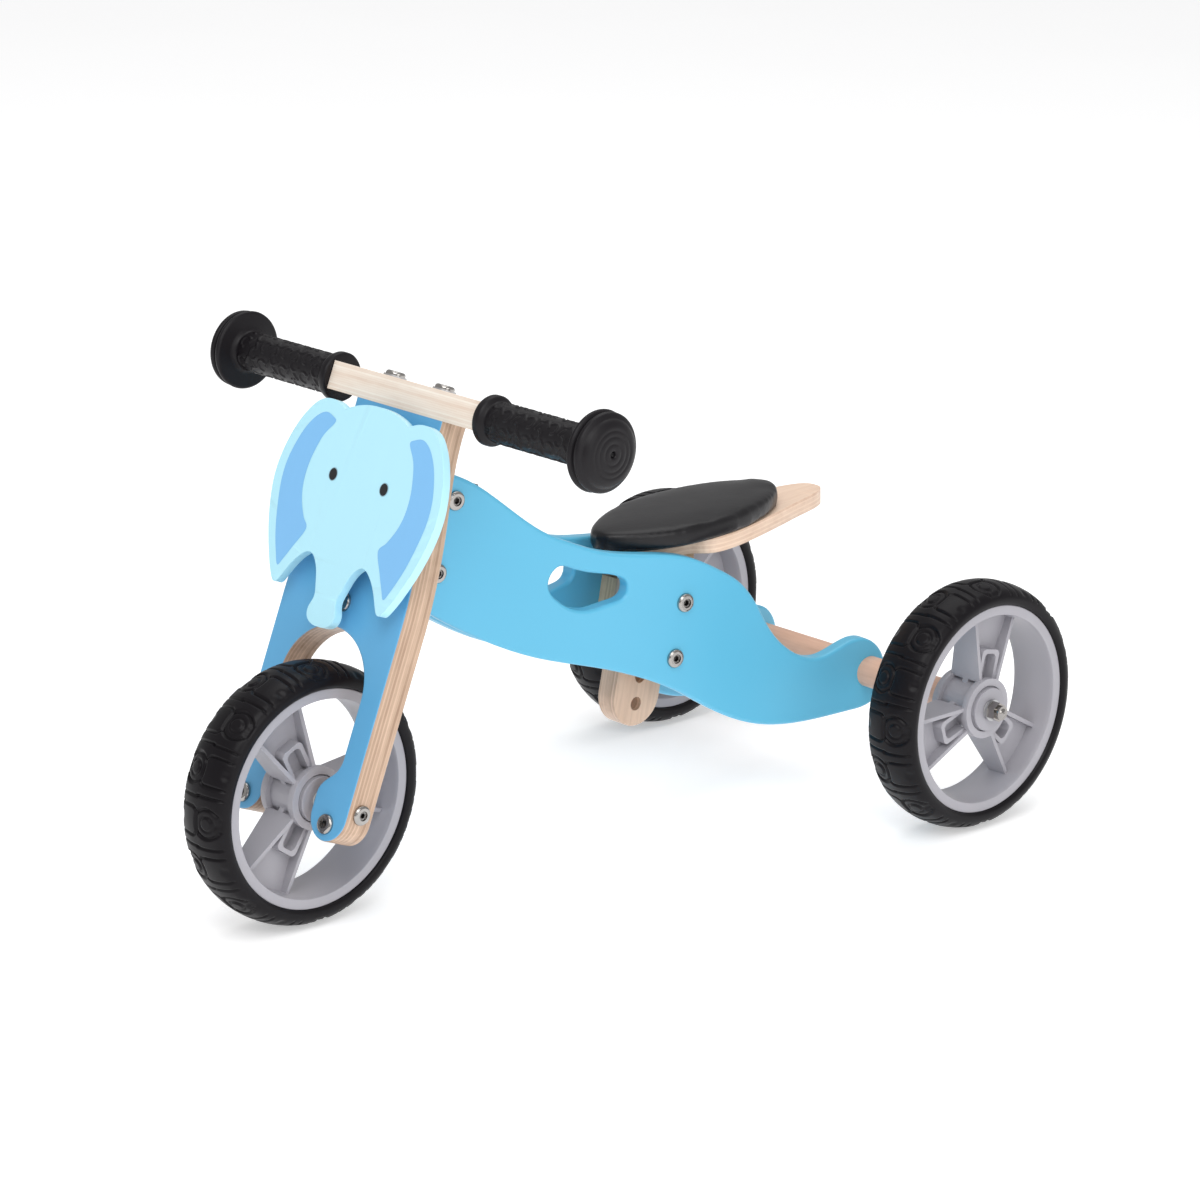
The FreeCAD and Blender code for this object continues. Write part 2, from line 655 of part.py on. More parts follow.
def hub_and_spokes(first_angle):
    """The hub and its three spokes, up to the rim's ring."""
    hub = ring_y(HUB_DRUM_R, BUSH_R + CLEARANCE, -HUB_BOSS_HALF, HUB_BOSS_HALF)
    boss = ring_y(HUB_BOSS_R, BUSH_R + CLEARANCE, HUB_BOSS_HALF - 5.5, HUB_BOSS_HALF)
    groove = ring_y(CAP_R + CAP_GROOVE, CAP_R, HUB_BOSS_HALF - CAP_GROOVE_DEPTH, HUB_BOSS_HALF)
    solid = hub.fuse(boss).fuse(mirrored(boss))
    bore = rod(BUSH_R + CLEARANCE, Vector(0, -30, 0), Y_AXIS, 60)
    for k in range(SPOKE_COUNT):
        arm = spoke().cut(bore)
        arm.rotate(ORIGIN, Y_AXIS, -(first_angle + 360.0 * k / SPOKE_COUNT))
        solid = solid.fuse(arm)
    return solid.cut(rim()).cut(groove).cut(mirrored(groove)).removeSplitter()


def tyre():
    """A solid foam tyre with a crowned tread."""
    half = RIM_WIDTH / 2
    lip = half - 3.0 - CLEARANCE
    wide = TYRE_HALF_WIDTH
    crown = [(RIM_LIP_R + 0.1, half + 0.8), (81.5, wide - 0.4), (84.5, wide), (88.5, wide - 1.0),
             (91.5, wide - 4.3), (93.6, wide - 9.0), (94.7, wide - 15.0), (TYRE_RADIUS, 0)]
    left = [(RIM_BED_R + CLEARANCE, lip), (RIM_LIP_R + 0.1, lip)] + crown
    right = [(radius, -y) for radius, y in left[:-1]]
    return turned_y(left + right[::-1])


def bushes():
    """Two plain bushes in the hub."""
    left = ring_y(BUSH_R, AXLE_R + CLEARANCE, 4.0, BUSH_HALF)
    return [left, mirrored(left)]


def hub_caps():
    """A cover disc on each face of the hub."""
    left = ring_y(CAP_R, BUSH_R + CLEARANCE, HUB_BOSS_HALF, HUB_BOSS_HALF + CAP_THICK)
    return [left, mirrored(left)]


def wheel(name, centre):
    """Writes one wheel's sub-parts."""
    pieces = {"rim": [rim()], "spokes": [hub_and_spokes(SPOKE_ANGLES[name])], "tyre": [tyre()],
              "hub_bushes": bushes(), "hub_caps": hub_caps()}
    for piece, solids in pieces.items():
        for solid in solids:
            solid.translate(centre)
        save(name + "_" + piece, solids)


# ---- rear axle ----
def rear_axle_dowel():
    """The round wooden axle beam that passes through both side boards."""
    beam = rod(DOWEL_R, Vector(REAR_X, -DOWEL_HALF, AXLE_Z), Y_AXIS, 2 * DOWEL_HALF)
    return beam.cut(rod(AXLE_R + 0.1, Vector(REAR_X, -DOWEL_HALF, AXLE_Z), Y_AXIS, 2 * DOWEL_HALF))


def rear_axle_hardware():
    """The steel rear axle with its washers and domed nuts."""
    face = REAR_TRACK / 2 + BUSH_HALF
    nut_low = face + 1.9
    rod_half = nut_low + 6.0
    centre = Vector(REAR_X, 0, AXLE_Z)
    axle = rod(AXLE_R, centre + Vector(0, -rod_half, 0), Y_AXIS, 2 * rod_half)
    washers = [ring_y(9.0, AXLE_R + 0.1, DOWEL_HALF, DOWEL_HALF + 2.5),
               ring_y(8.0, AXLE_R + 0.1, face + 0.4, nut_low)]
    nut = hexagon(13, 6.5, 0).fuse(Part.makeCylinder(5.4, 3.0, Vector(0, 0, 6.5)))
    nut = nut.fuse(Part.makeSphere(5.4, Vector(0, 0, 5.6), Z_AXIS, 0, 90, 360))
    nut = nut.cut(Part.makeCylinder(AXLE_R + CLEARANCE, 7.0))
    nut = aimed(nut, Vector(0, nut_low, 0), Y_AXIS)
    nuts = [nut, mirrored(nut)]
    washers = washers + [mirrored(washer) for washer in washers]
    for solid in washers + nuts:
        solid.translate(centre)
    return axle, washers, nuts


# ---- seat ----
SEAT_BOARD_HALF = [(60, 0), (55, 14), (42, 22), (20, 23.5), (4, 26.5), (-6, 35.5), (-22, 39), (-55, 35),
                   (-91, 27), (-122, 19.5), (-146, 13), (-153.5, 8), (-156, 0)]
PAD_HALF = [(76.5, 0), (73, 10), (62, 20.5), (51, 27.5), (38, 34.5), (20, 40.5), (0, 43.5), (-20, 44),
            (-38, 42), (-56, 38), (-74, 32), (-90, 23.5), (-102, 14), (-107, 6), (-108.5, 0)]

PAD_BASE_HALF = [(x * 0.92, y * 0.88) for x, y in PAD_HALF]


def plan_solid(half_outline, z_low, thick):
    """A solid from one side of a plan outline that is the same on both sides."""
    edges = []
    for side in (-1, 1):
        edges.append(smooth([Vector(x, side * y, z_low) for x, y in half_outline]))
    return closed_face(edges).extrude(Vector(0, 0, thick))


def seat_screw_points():
    """Screws from the seat board down into the cleats."""
    return [(x, side * 15.0) for side in (-1, 1) for x in (1, 20)]


def pad_screw_points():
    """Screws from under the seat board up into the pad's base."""
    return [(50, 0), (-40, -22), (-40, 22)]


def seat_board():
    """The plywood seat board, with a tapered tail."""
    board = plan_solid(SEAT_BOARD_HALF, -SEAT_BOARD_THICK, SEAT_BOARD_THICK)
    for x, y in seat_screw_points():
        board = board.cut(aimed(screw_hole(SEAT_BOARD_THICK), Vector(x, y, 0), Z_AXIS))
    for x, y in pad_screw_points():
        hole = aimed(screw_hole(SEAT_BOARD_THICK), Vector(x, y, -SEAT_BOARD_THICK), -Z_AXIS)
        board = board.cut(hole)
    return in_seat(board)


def seat_pad_base():
    """The thin board that the pad is upholstered on."""
    base = plan_solid(PAD_BASE_HALF, 0, PAD_BASE_THICK)
    for x, y in pad_screw_points():
        base = base.cut(rod(2.0, Vector(x, y, 0), Z_AXIS, PAD_BASE_THICK))
    return in_seat(base)


def seat_pad():
    """The upholstered pad as one closed form that wraps its base."""
    pad = plan_solid(PAD_HALF, 0, PAD_THICK)
    pad = rounded(pad, 4.0, lambda p: abs(p.z - PAD_THICK) < 0.01)
    pad = rounded(pad, 1.5, lambda p: abs(p.z) < 0.01)
    return in_seat(pad.cut(plan_solid(PAD_BASE_HALF, 0, PAD_BASE_THICK)))


def seat_cleats():
    """Two wooden cleats that join the post to the seat board."""
    cleats = []
    for side in (-1, 1):
        low_y = POST_THICK / 2 if side > 0 else -POST_THICK / 2 - CLEAT_THICK
        cleat = Part.makeBox(44, CLEAT_THICK, CLEAT_DROP,
                             Vector(-4, low_y, -SEAT_BOARD_THICK - CLEAT_DROP))
        for x, y in seat_screw_points():
            cleat = cleat.cut(rod(2.0, Vector(x, y, -SEAT_BOARD_THICK - 12), Z_AXIS, 12))
        cleat = in_seat(cleat)
        for point in cleat_bolt_points():
            cleat = cleat.cut(rod(2.6, point + Vector(0, -40, 0), Y_AXIS, 80))
        cleats.append(cleat)
    return cleats


def cleat_bolt_points():
    """Where two bolts go through the cleats and the post."""
    lean = math.radians(POST_LEAN)
    across = Vector(math.cos(lean), 0, math.sin(lean))
    return [post_point(122.5) + across * offset for offset in (-11.0, 11.0)]


def cleat_fasteners():
    """The bolts through the cleats, and their nuts."""
    half = POST_THICK / 2 + CLEAT_THICK
    bolts = []
    nuts = []
    for point in cleat_bolt_points():
        bolt = socket_bolt(2 * half + 4.5, 2.5, 4.6, 2.8)
        bolts.append(aimed(bolt, point + Vector(0, half, 0), Y_AXIS))
        nut = hexagon(8, 4, 0).cut(Part.makeCylinder(2.55, 4))
        nuts.append(aimed(nut, point - Vector(0, half, 0), -Y_AXIS))
    return bolts, nuts


def seat_screws():
    """The screws that hold the seat board to the cleats."""
    return [in_seat(aimed(wood_screw(23.5, 1.95), Vector(x, y, 0), Z_AXIS))
            for x, y in seat_screw_points()]


def pad_screws():
    """The screws that hold the pad's base to the seat board."""
    length = SEAT_BOARD_THICK + PAD_BASE_THICK - 0.4
    return [in_seat(aimed(wood_screw(length, 1.95), Vector(x, y, -SEAT_BOARD_THICK), -Z_AXIS))
            for x, y in pad_screw_points()]


# ---- seat post ----
def seat_post():
    """The plywood post, round at its foot, with height holes."""
    half = POST_WIDTH / 2
    blade = Part.makeBox(POST_WIDTH, POST_THICK, POST_LENGTH - half,
                         Vector(-half, -POST_THICK / 2, half))
    blade = blade.fuse(rod(half, Vector(0, -POST_THICK / 2, half), Y_AXIS, POST_THICK)).removeSplitter()
    blade = rounded(blade, 1.2, lambda p: abs(abs(p.y) - POST_THICK / 2) < 0.01 and p.z < POST_LENGTH - 1)
    for index in range(POST_HOLES):
        start = Vector(0, -POST_THICK / 2, POST_HOLE_FIRST + POST_HOLE_PITCH * index)
        blade = blade.cut(rod(POST_HOLE_R, start, Y_AXIS, POST_THICK))
    blade = in_post(blade)
    above = in_seat(Part.makeBox(BIG, BIG, BIG, Vector(-BIG / 2, -BIG / 2, -SEAT_BOARD_THICK)))
    blade = blade.cut(above)
    for point in cleat_bolt_points():
        blade = blade.cut(rod(2.6, point + Vector(0, -40, 0), Y_AXIS, 80))
    return blade


def post_pins():
    """Two steel pins that lock the post's height between the cheek blocks."""
    return [rod(POST_HOLE_R - CLEARANCE, post_hole(index) - Vector(0, 15, 0), Y_AXIS, 30)
            for index in POST_FIXED_HOLES]


def cheek_blocks():
    """A wedge-shaped block each side of the post, up to the side board's inner face."""
    low, high = CHEEK_RANGE
    window = in_post(Part.makeBox(2 * CHEEK_HALF, BIG, high - low, Vector(-CHEEK_HALF, -BIG / 2, low)))
    slab = Part.makeBox(BIG, POST_THICK, BIG, Vector(-BIG / 2, -POST_THICK / 2, 0))
    block = between_sides(-130, -20, 100, 220).common(window).cut(slab)
    for index in POST_FIXED_HOLES:
        block = block.cut(rod(POST_HOLE_R, post_hole(index) - Vector(0, 15.2, 0), Y_AXIS, 30.4))
    points = [post_hole(index) for index in POST_FIXED_HOLES]
    for hole in side_bolt_holes(points, CHEEK_BOLT_LENGTH):
        block = block.cut(hole)
    return [block]


# ---- the whole bike ----
def write_frame():
    """Side boards, steering head, seat and rear axle."""
    left = side_board()
    save("side_board_left", [left])
    save("side_board_right", [mirrored(left)])
    save("steering_head", [steering_head()])
    save("steering_head_bushes", head_bushes())
    save("head_bolts", side_bolts(head_bolt_points(), HEAD_BOLT_LENGTH))
    save("seat_cheek_blocks", cheek_blocks())
    save("cheek_bolts", side_bolts([post_hole(i) for i in POST_FIXED_HOLES], CHEEK_BOLT_LENGTH))
    save("seat_post", [seat_post()])
    save("seat_post_pins", post_pins())
    save("seat_cleats", seat_cleats())
    bolts, nuts = cleat_fasteners()
    save("cleat_bolts", bolts)
    save("cleat_nuts", nuts)
    save("seat_board", [seat_board()])
    save("seat_board_screws", seat_screws())
    save("seat_pad_base", [seat_pad_base()])
    save("seat_pad_screws", pad_screws())
    save("seat_pad", [seat_pad()])
    axle, washers, nuts = rear_axle_hardware()
    save("rear_axle_dowel", [rear_axle_dowel()])
    save("rear_axle", [axle])
    save("rear_axle_washers", washers)
    save("rear_axle_nuts", nuts)


def write_fork():
    """Fork board, handlebar, grips, face board, steering hinge and front axle."""
    save("fork_board", [fork_board()])
    save("handlebar", [handlebar()])
    bolts, washers, barrels = handlebar_fasteners()
    save("handlebar_bolts", bolts)
    save("handlebar_washers", washers)
    save("handlebar_barrel_nuts", barrels)
    left = grip_in_place()
    save("grip_left", [left])
    save("grip_right", [mirrored(left)])
    save("face_board", [face_board()])
    save("face_rails", face_rails())
    save("face_screws", face_screws())
    save("steering_lugs", steering_lugs())
    save("lug_bolts", lug_bolts())
    save("steering_pin", [steering_pin()])
    save("steering_pin_nut", steering_pin_nut())
    bolts, nuts = leg_fasteners()
    save("leg_bolts", bolts)
    save("leg_nuts", nuts)
    save("front_axle", [front_axle()])
    save("front_axle_bolts", front_axle_bolts())
    save("front_axle_spacers", front_axle_spacers())


os.makedirs("parts", exist_ok=True)
write_frame()
write_fork()
wheel("front", Vector(FRONT_X, 0, AXLE_Z))
wheel("rear_left", Vector(REAR_X, REAR_TRACK / 2, AXLE_Z))
wheel("rear_right", Vector(REAR_X, -REAR_TRACK / 2, AXLE_Z))
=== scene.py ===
import json
import math

import bmesh
import bpy
import numpy as np
from mathutils import Matrix, Vector


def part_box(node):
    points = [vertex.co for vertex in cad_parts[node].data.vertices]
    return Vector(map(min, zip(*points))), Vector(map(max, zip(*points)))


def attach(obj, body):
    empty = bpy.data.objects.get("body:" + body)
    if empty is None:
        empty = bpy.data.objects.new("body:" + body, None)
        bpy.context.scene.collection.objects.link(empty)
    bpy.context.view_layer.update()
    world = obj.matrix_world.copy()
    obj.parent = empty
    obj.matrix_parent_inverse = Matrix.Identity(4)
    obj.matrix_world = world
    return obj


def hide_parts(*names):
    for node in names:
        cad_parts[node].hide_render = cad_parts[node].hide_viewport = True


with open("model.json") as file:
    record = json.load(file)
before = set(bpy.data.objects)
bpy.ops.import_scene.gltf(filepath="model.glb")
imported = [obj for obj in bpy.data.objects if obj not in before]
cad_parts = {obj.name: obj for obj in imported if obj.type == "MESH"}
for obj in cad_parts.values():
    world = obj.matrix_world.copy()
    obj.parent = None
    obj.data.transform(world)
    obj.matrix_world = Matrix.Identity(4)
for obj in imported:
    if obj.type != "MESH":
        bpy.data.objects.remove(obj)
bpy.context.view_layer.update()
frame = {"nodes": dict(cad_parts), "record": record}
nodes = frame["nodes"]
MM = 0.001


# ---------- where things are ----------
def centre(node):
    """The middle of a CAD node's box."""
    low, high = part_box(node)
    return (Vector(low) + Vector(high)) / 2


FRONT_HUB = centre("front_tyre")
REAR_LEFT_HUB = centre("rear_left_tyre")
REAR_RIGHT_HUB = centre("rear_right_tyre")
RAKE = math.radians(21.0)
FORWARD = Vector((math.cos(RAKE), 0, math.sin(RAKE)))
UP_FORK = Vector((-math.sin(RAKE), 0, math.cos(RAKE)))
SIDE = Vector((0, 1, 0))
FLARE = math.radians(6.73)
# The seat falls forward by its pitch, and its post leans back by 11 degrees.
SEAT_PITCH = math.radians(3.0)
SEAT_ALONG = (0.9986, 0, -0.0523)
SEAT_ACROSS = (0.0523, 0, 0.9986)
POST_ALONG = (-0.191, 0, 0.982)


def fork_point(n, y, v):
    """A point of the fork's own frame in millimetres: forward of the board, left, up the board."""
    return FRONT_HUB + (FORWARD * n + SIDE * y + UP_FORK * v) * MM


# ---------- mesh helpers ----------
def new_piece(name, verts, faces, material, body, smooth=True):
    """Makes a mesh piece that rides on a body."""
    mesh = bpy.data.meshes.new(name)
    mesh.from_pydata([tuple(v) for v in verts], [], faces)
    mesh.materials.append(material)
    if smooth:
        mesh.polygons.foreach_set("use_smooth", [True] * len(mesh.polygons))
    mesh.update()
    piece = bpy.data.objects.new(name, mesh)
    bpy.context.scene.collection.objects.link(piece)
    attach(piece, body)
    return piece


def turned(profile, steps, lift):
    """Points and faces of a shape turned about Y. lift(angles, radii, widths) gives new radii."""
    angles = np.arange(steps) * 2 * math.pi / steps
    count = len(profile)
    radius = np.array([p[0] for p in profile], float)
    across = np.array([p[1] for p in profile], float)
    widths = np.repeat(across[None, :], steps, axis=0)
    radii = lift(angles, np.repeat(radius[None, :], steps, axis=0), widths)
    x = radii * np.cos(angles)[:, None]
    z = radii * np.sin(angles)[:, None]
    verts = np.stack([x, widths, z], axis=-1).reshape(-1, 3)
    i = np.repeat(np.arange(steps), count - 1)
    j = np.tile(np.arange(count - 1), steps)
    here = i * count + j
    beyond = (i + 1) % steps * count + j
    faces = np.stack([here, here + 1, beyond + 1, beyond], axis=-1)
    return verts, faces.tolist()


def smoothstep(low, high, value):
    """0 below low, 1 above high, smooth between."""
    t = np.clip((value - low) / (high - low), 0, 1)
    return t * t * (3 - 2 * t)


def catmull(points, steps):
    """A smooth closed line through points."""
    out = []
    count = len(points)
    for i in range(count):
        a, b, c, d = (np.array(points[(i + k) % count], float) for k in (-1, 0, 1, 2))
        for s in range(steps):
            t = s / steps
            out.append(0.5 * (2 * b + (c - a) * t + (2 * a - 5 * b + 4 * c - d) * t * t
                              + (3 * b - a - 3 * c + d) * t ** 3))
    return out


# ---------- node helpers ----------
def group_node(tree, group, **values):
    """Adds a shared group to a material and sets its inputs."""
    node = tree.nodes.new("ShaderNodeGroup")
    node.node_tree = group
    for key, value in values.items():
        node.inputs[key.replace("_", " ")].default_value = value
    return node


def new_group(name, inputs, outputs):
    """An empty node group with its sockets."""
    group = bpy.data.node_groups.new(name, "ShaderNodeTree")
    for label, kind, default in inputs:
        socket = group.interface.new_socket(label, in_out="INPUT", socket_type=kind)
        socket.default_value = default
    for label, kind in outputs:
        group.interface.new_socket(label, in_out="OUTPUT", socket_type=kind)
    enter = group.nodes.new("NodeGroupInput")
    leave = group.nodes.new("NodeGroupOutput")
    return group, enter, leave


def math_node(tree, kind, a, b=None, clamp=False):
    """A Math node with sockets or numbers for inputs."""
    node = tree.nodes.new("ShaderNodeMath")
    node.operation = kind
    node.use_clamp = clamp
    for index, value in enumerate((a, b)):
        if value is None:
            continue
        if isinstance(value, (int, float)):
            node.inputs[index].default_value = value
        else:
            tree.links.new(value, node.inputs[index])
    return node.outputs[0]


def dot(tree, a, b):
    """A dot product of two vector sockets."""
    node = tree.nodes.new("ShaderNodeVectorMath")
    node.operation = "DOT_PRODUCT"
    tree.links.new(a, node.inputs[0])
    tree.links.new(b, node.inputs[1])
    return node.outputs["Value"]


def weighted(tree, *terms):
    """The sum of each socket times its weight."""
    total = math_node(tree, "MULTIPLY", *terms[0])
    for value, weight in terms[1:]:
        total = math_node(tree, "ADD", total, math_node(tree, "MULTIPLY", value, weight))
    return total


def varied(tree, value, amount, base):
    """A base number that a socket raises by up to an amount."""
    return math_node(tree, "ADD", math_node(tree, "MULTIPLY", value, amount), base)


# The Mix node's sockets for colours.
MIX_A, MIX_B, MIX_RESULT = 6, 7, 2


def mix_colour(tree, factor, a, b):
    """A colour mix by a socket; a and b are each a socket or a colour."""
    node = tree.nodes.new("ShaderNodeMix")
    node.data_type = "RGBA"
    tree.links.new(factor, node.inputs[0])
    for value, socket in ((a, node.inputs[MIX_A]), (b, node.inputs[MIX_B])):
        if isinstance(value, tuple):
            socket.default_value = (*value, 1)
        else:
            tree.links.new(value, socket)
    return node.outputs[MIX_RESULT]


def ramp(tree, source, low, high):
    """Maps low..high to 0..1, smoothly."""
    node = tree.nodes.new("ShaderNodeMapRange")
    node.interpolation_type = "SMOOTHSTEP"
    node.inputs["From Min"].default_value = low
    node.inputs["From Max"].default_value = high
    tree.links.new(source, node.inputs["Value"])
    return node.outputs["Result"]


def noise(tree, vector, scale, detail, rough):
    """A noise texture's value."""
    node = tree.nodes.new("ShaderNodeTexNoise")
    node.inputs["Scale"].default_value = scale
    node.inputs["Detail"].default_value = detail
    node.inputs["Roughness"].default_value = rough
    tree.links.new(vector, node.inputs["Vector"])
    return node.outputs["Fac"]


def bump(tree, height, strength, distance):
    """A bump normal from a height."""
    node = tree.nodes.new("ShaderNodeBump")
    node.inputs["Strength"].default_value = strength
    node.inputs["Distance"].default_value = distance
    tree.links.new(height, node.inputs["Height"])
    return node.outputs["Normal"]


def make_stretch_group():
    """Object coordinates turned so that X runs along the grain and Z across the layers."""
    group, enter, leave = new_group(
        "board directions",
        [("Along", "NodeSocketVector", (1, 0, 0)), ("Across", "NodeSocketVector", (0, 0, 1))],
        [("Vector", "NodeSocketVector"), ("Face mask", "NodeSocketFloat")])
    coords = group.nodes.new("ShaderNodeTexCoord")
    third = group.nodes.new("ShaderNodeVectorMath")
    third.operation = "CROSS_PRODUCT"
    group.links.new(enter.outputs["Along"], third.inputs[0])
    group.links.new(enter.outputs["Across"], third.inputs[1])
    join = group.nodes.new("ShaderNodeCombineXYZ")
    group.links.new(dot(group, coords.outputs["Object"], enter.outputs["Along"]), join.inputs[0])
    group.links.new(dot(group, coords.outputs["Object"], third.outputs[0]), join.inputs[1])
    group.links.new(dot(group, coords.outputs["Object"], enter.outputs["Across"]), join.inputs[2])
    facing = math_node(group, "ABSOLUTE",
                       dot(group, coords.outputs["Normal"], enter.outputs["Across"]))
    group.links.new(join.outputs[0], leave.inputs["Vector"])
    group.links.new(ramp(group, facing, 0.55, 0.8), leave.inputs["Face mask"])
    return group


def stretched(tree, place, scale):
    """Grain directions scaled apart, so that a noise is drawn out along the grain."""
    node = tree.nodes.new("ShaderNodeMapping")
    node.inputs["Scale"].default_value = scale
    tree.links.new(place, node.inputs["Vector"])
    return node.outputs[0]


LAYER_WAVER = 0.0016


def make_wood_group(directions):
    """Plywood or solid wood: veneer grain on the faces, stacked layers on the edges."""
    group, enter, leave = new_group(
        "wood",
        [("Along", "NodeSocketVector", (1, 0, 0)), ("Across", "NodeSocketVector", (0, 0, 1)),
         ("Layer", "NodeSocketFloat", 0.0016), ("Layers shown", "NodeSocketFloat", 1.0),
         ("Light", "NodeSocketColor", (0.80, 0.62, 0.42, 1)),
         ("Dark", "NodeSocketColor", (0.46, 0.29, 0.16, 1))],
        [("Color", "NodeSocketColor"), ("Height", "NodeSocketFloat"),
         ("Face mask", "NodeSocketFloat")])
    way = group.nodes.new("ShaderNodeGroup")
    way.node_tree = directions
    group.links.new(enter.outputs["Along"], way.inputs["Along"])
    group.links.new(enter.outputs["Across"], way.inputs["Across"])
    place = way.outputs["Vector"]
    layers_shown = enter.outputs["Layers shown"]

    # the faces: streaks, broad bands and dark flecks of pores
    streaks = noise(group, stretched(group, place, (9, 150, 60)), 2.2, 5.0, 0.62)
    bands = noise(group, stretched(group, place, (3, 26, 12)), 1.3, 2.0, 0.5)
    pores = noise(group, stretched(group, place, (120, 1400, 1400)), 1.0, 1.0, 0.5)
    flecks = ramp(group, pores, 0.60, 0.74)
    face_tone = weighted(group, (ramp(group, streaks, 0.35, 0.75), 0.32),
                         (ramp(group, bands, 0.35, 0.7), 0.22))
    face_tone = math_node(group, "ADD", face_tone,
                          math_node(group, "MULTIPLY", flecks, 0.14), True)

    # the edges: wavering layers, each with its own tone, and dark glue lines between them
    parts = group.nodes.new("ShaderNodeSeparateXYZ")
    group.links.new(place, parts.inputs[0])
    waver = math_node(group, "MULTIPLY", bands, LAYER_WAVER)
    height = math_node(group, "DIVIDE", math_node(group, "ADD", parts.outputs["Z"], waver),
                       enter.outputs["Layer"])
    layer = math_node(group, "FLOOR", height)
    odd = math_node(group, "FLOORED_MODULO", layer, 2.0)
    chance = group.nodes.new("ShaderNodeTexWhiteNoise")
    chance.noise_dimensions = "1D"
    group.links.new(layer, chance.inputs["W"])
    part = math_node(group, "FRACT", height)
    away = math_node(group, "ABSOLUTE", math_node(group, "SUBTRACT", part, 0.5))
    glue = ramp(group, away, 0.40, 0.49)
    layer_tone = weighted(group, (odd, 0.20), (ramp(group, streaks, 0.3, 0.75), 0.34),
                          (chance.outputs["Value"], 0.34), (glue, 0.30))
    layer_tone = math_node(group, "MULTIPLY", layer_tone, layers_shown)
    plain_tone = math_node(group, "MULTIPLY", face_tone,
                           math_node(group, "SUBTRACT", 1.0, layers_shown))
    edge_tone = math_node(group, "ADD", layer_tone, plain_tone, True)

    tone = group.nodes.new("ShaderNodeMix")
    group.links.new(way.outputs["Face mask"], tone.inputs[0])
    group.links.new(edge_tone, tone.inputs[2])
    group.links.new(face_tone, tone.inputs[3])
    colour = mix_colour(group, tone.outputs[0], enter.outputs["Light"], enter.outputs["Dark"])
    relief = math_node(group, "SUBTRACT", math_node(group, "MULTIPLY", streaks, 0.5),
                       math_node(group, "MULTIPLY", glue, 0.3))
    group.links.new(colour, leave.inputs["Color"])
    group.links.new(relief, leave.inputs["Height"])
    group.links.new(way.outputs["Face mask"], leave.inputs["Face mask"])
    return group


def make_finish_group():
    """Two sizes of unevenness for a moulded, painted or cast surface."""
    group, enter, leave = new_group(
        "surface unevenness",
        [("Fine", "NodeSocketFloat", 900.0), ("Broad", "NodeSocketFloat", 20.0)],
        [("Fine value", "NodeSocketFloat"), ("Broad value", "NodeSocketFloat")])
    coords = group.nodes.new("ShaderNodeTexCoord")
    for label, out, detail in (("Fine", "Fine value", 2.0), ("Broad", "Broad value", 3.0)):
        node = group.nodes.new("ShaderNodeTexNoise")
        node.inputs["Detail"].default_value = detail
        group.links.new(coords.outputs["Object"], node.inputs["Vector"])
        group.links.new(enter.outputs[label], node.inputs["Scale"])
        group.links.new(node.outputs["Fac"], leave.inputs[out])
    return group


def make_leather_group():
    """The pebbled grain of a coated fabric cover."""
    group, enter, leave = new_group("cover grain", [("Scale", "NodeSocketFloat", 900.0)],
                                    [("Height", "NodeSocketFloat"), ("Creases", "NodeSocketFloat")])
    coords = group.nodes.new("ShaderNodeTexCoord")
    cells = group.nodes.new("ShaderNodeTexVoronoi")
    cells.feature = "SMOOTH_F1"
    group.links.new(coords.outputs["Object"], cells.inputs["Vector"])
    group.links.new(enter.outputs["Scale"], cells.inputs["Scale"])
    broad = noise(group, coords.outputs["Object"], 45.0, 4.0, 0.6)
    group.links.new(cells.outputs["Distance"], leave.inputs["Height"])
    group.links.new(broad, leave.inputs["Creases"])
    return group


DIRECTIONS = make_stretch_group()
WOOD = make_wood_group(DIRECTIONS)
FINISH = make_finish_group()
LEATHER = make_leather_group()


def new_material(name):
    """A material with its tree and its Principled shader."""
    material = bpy.data.materials.new(name)
    material.use_nodes = True
    return material, material.node_tree, material.node_tree.nodes["Principled BSDF"]


VARNISH_ROUGHNESS = 0.42
PAINT_ROUGHNESS = 0.38
BARE_LIGHT = (0.70, 0.50, 0.36)
BARE_DARK = (0.30, 0.17, 0.10)


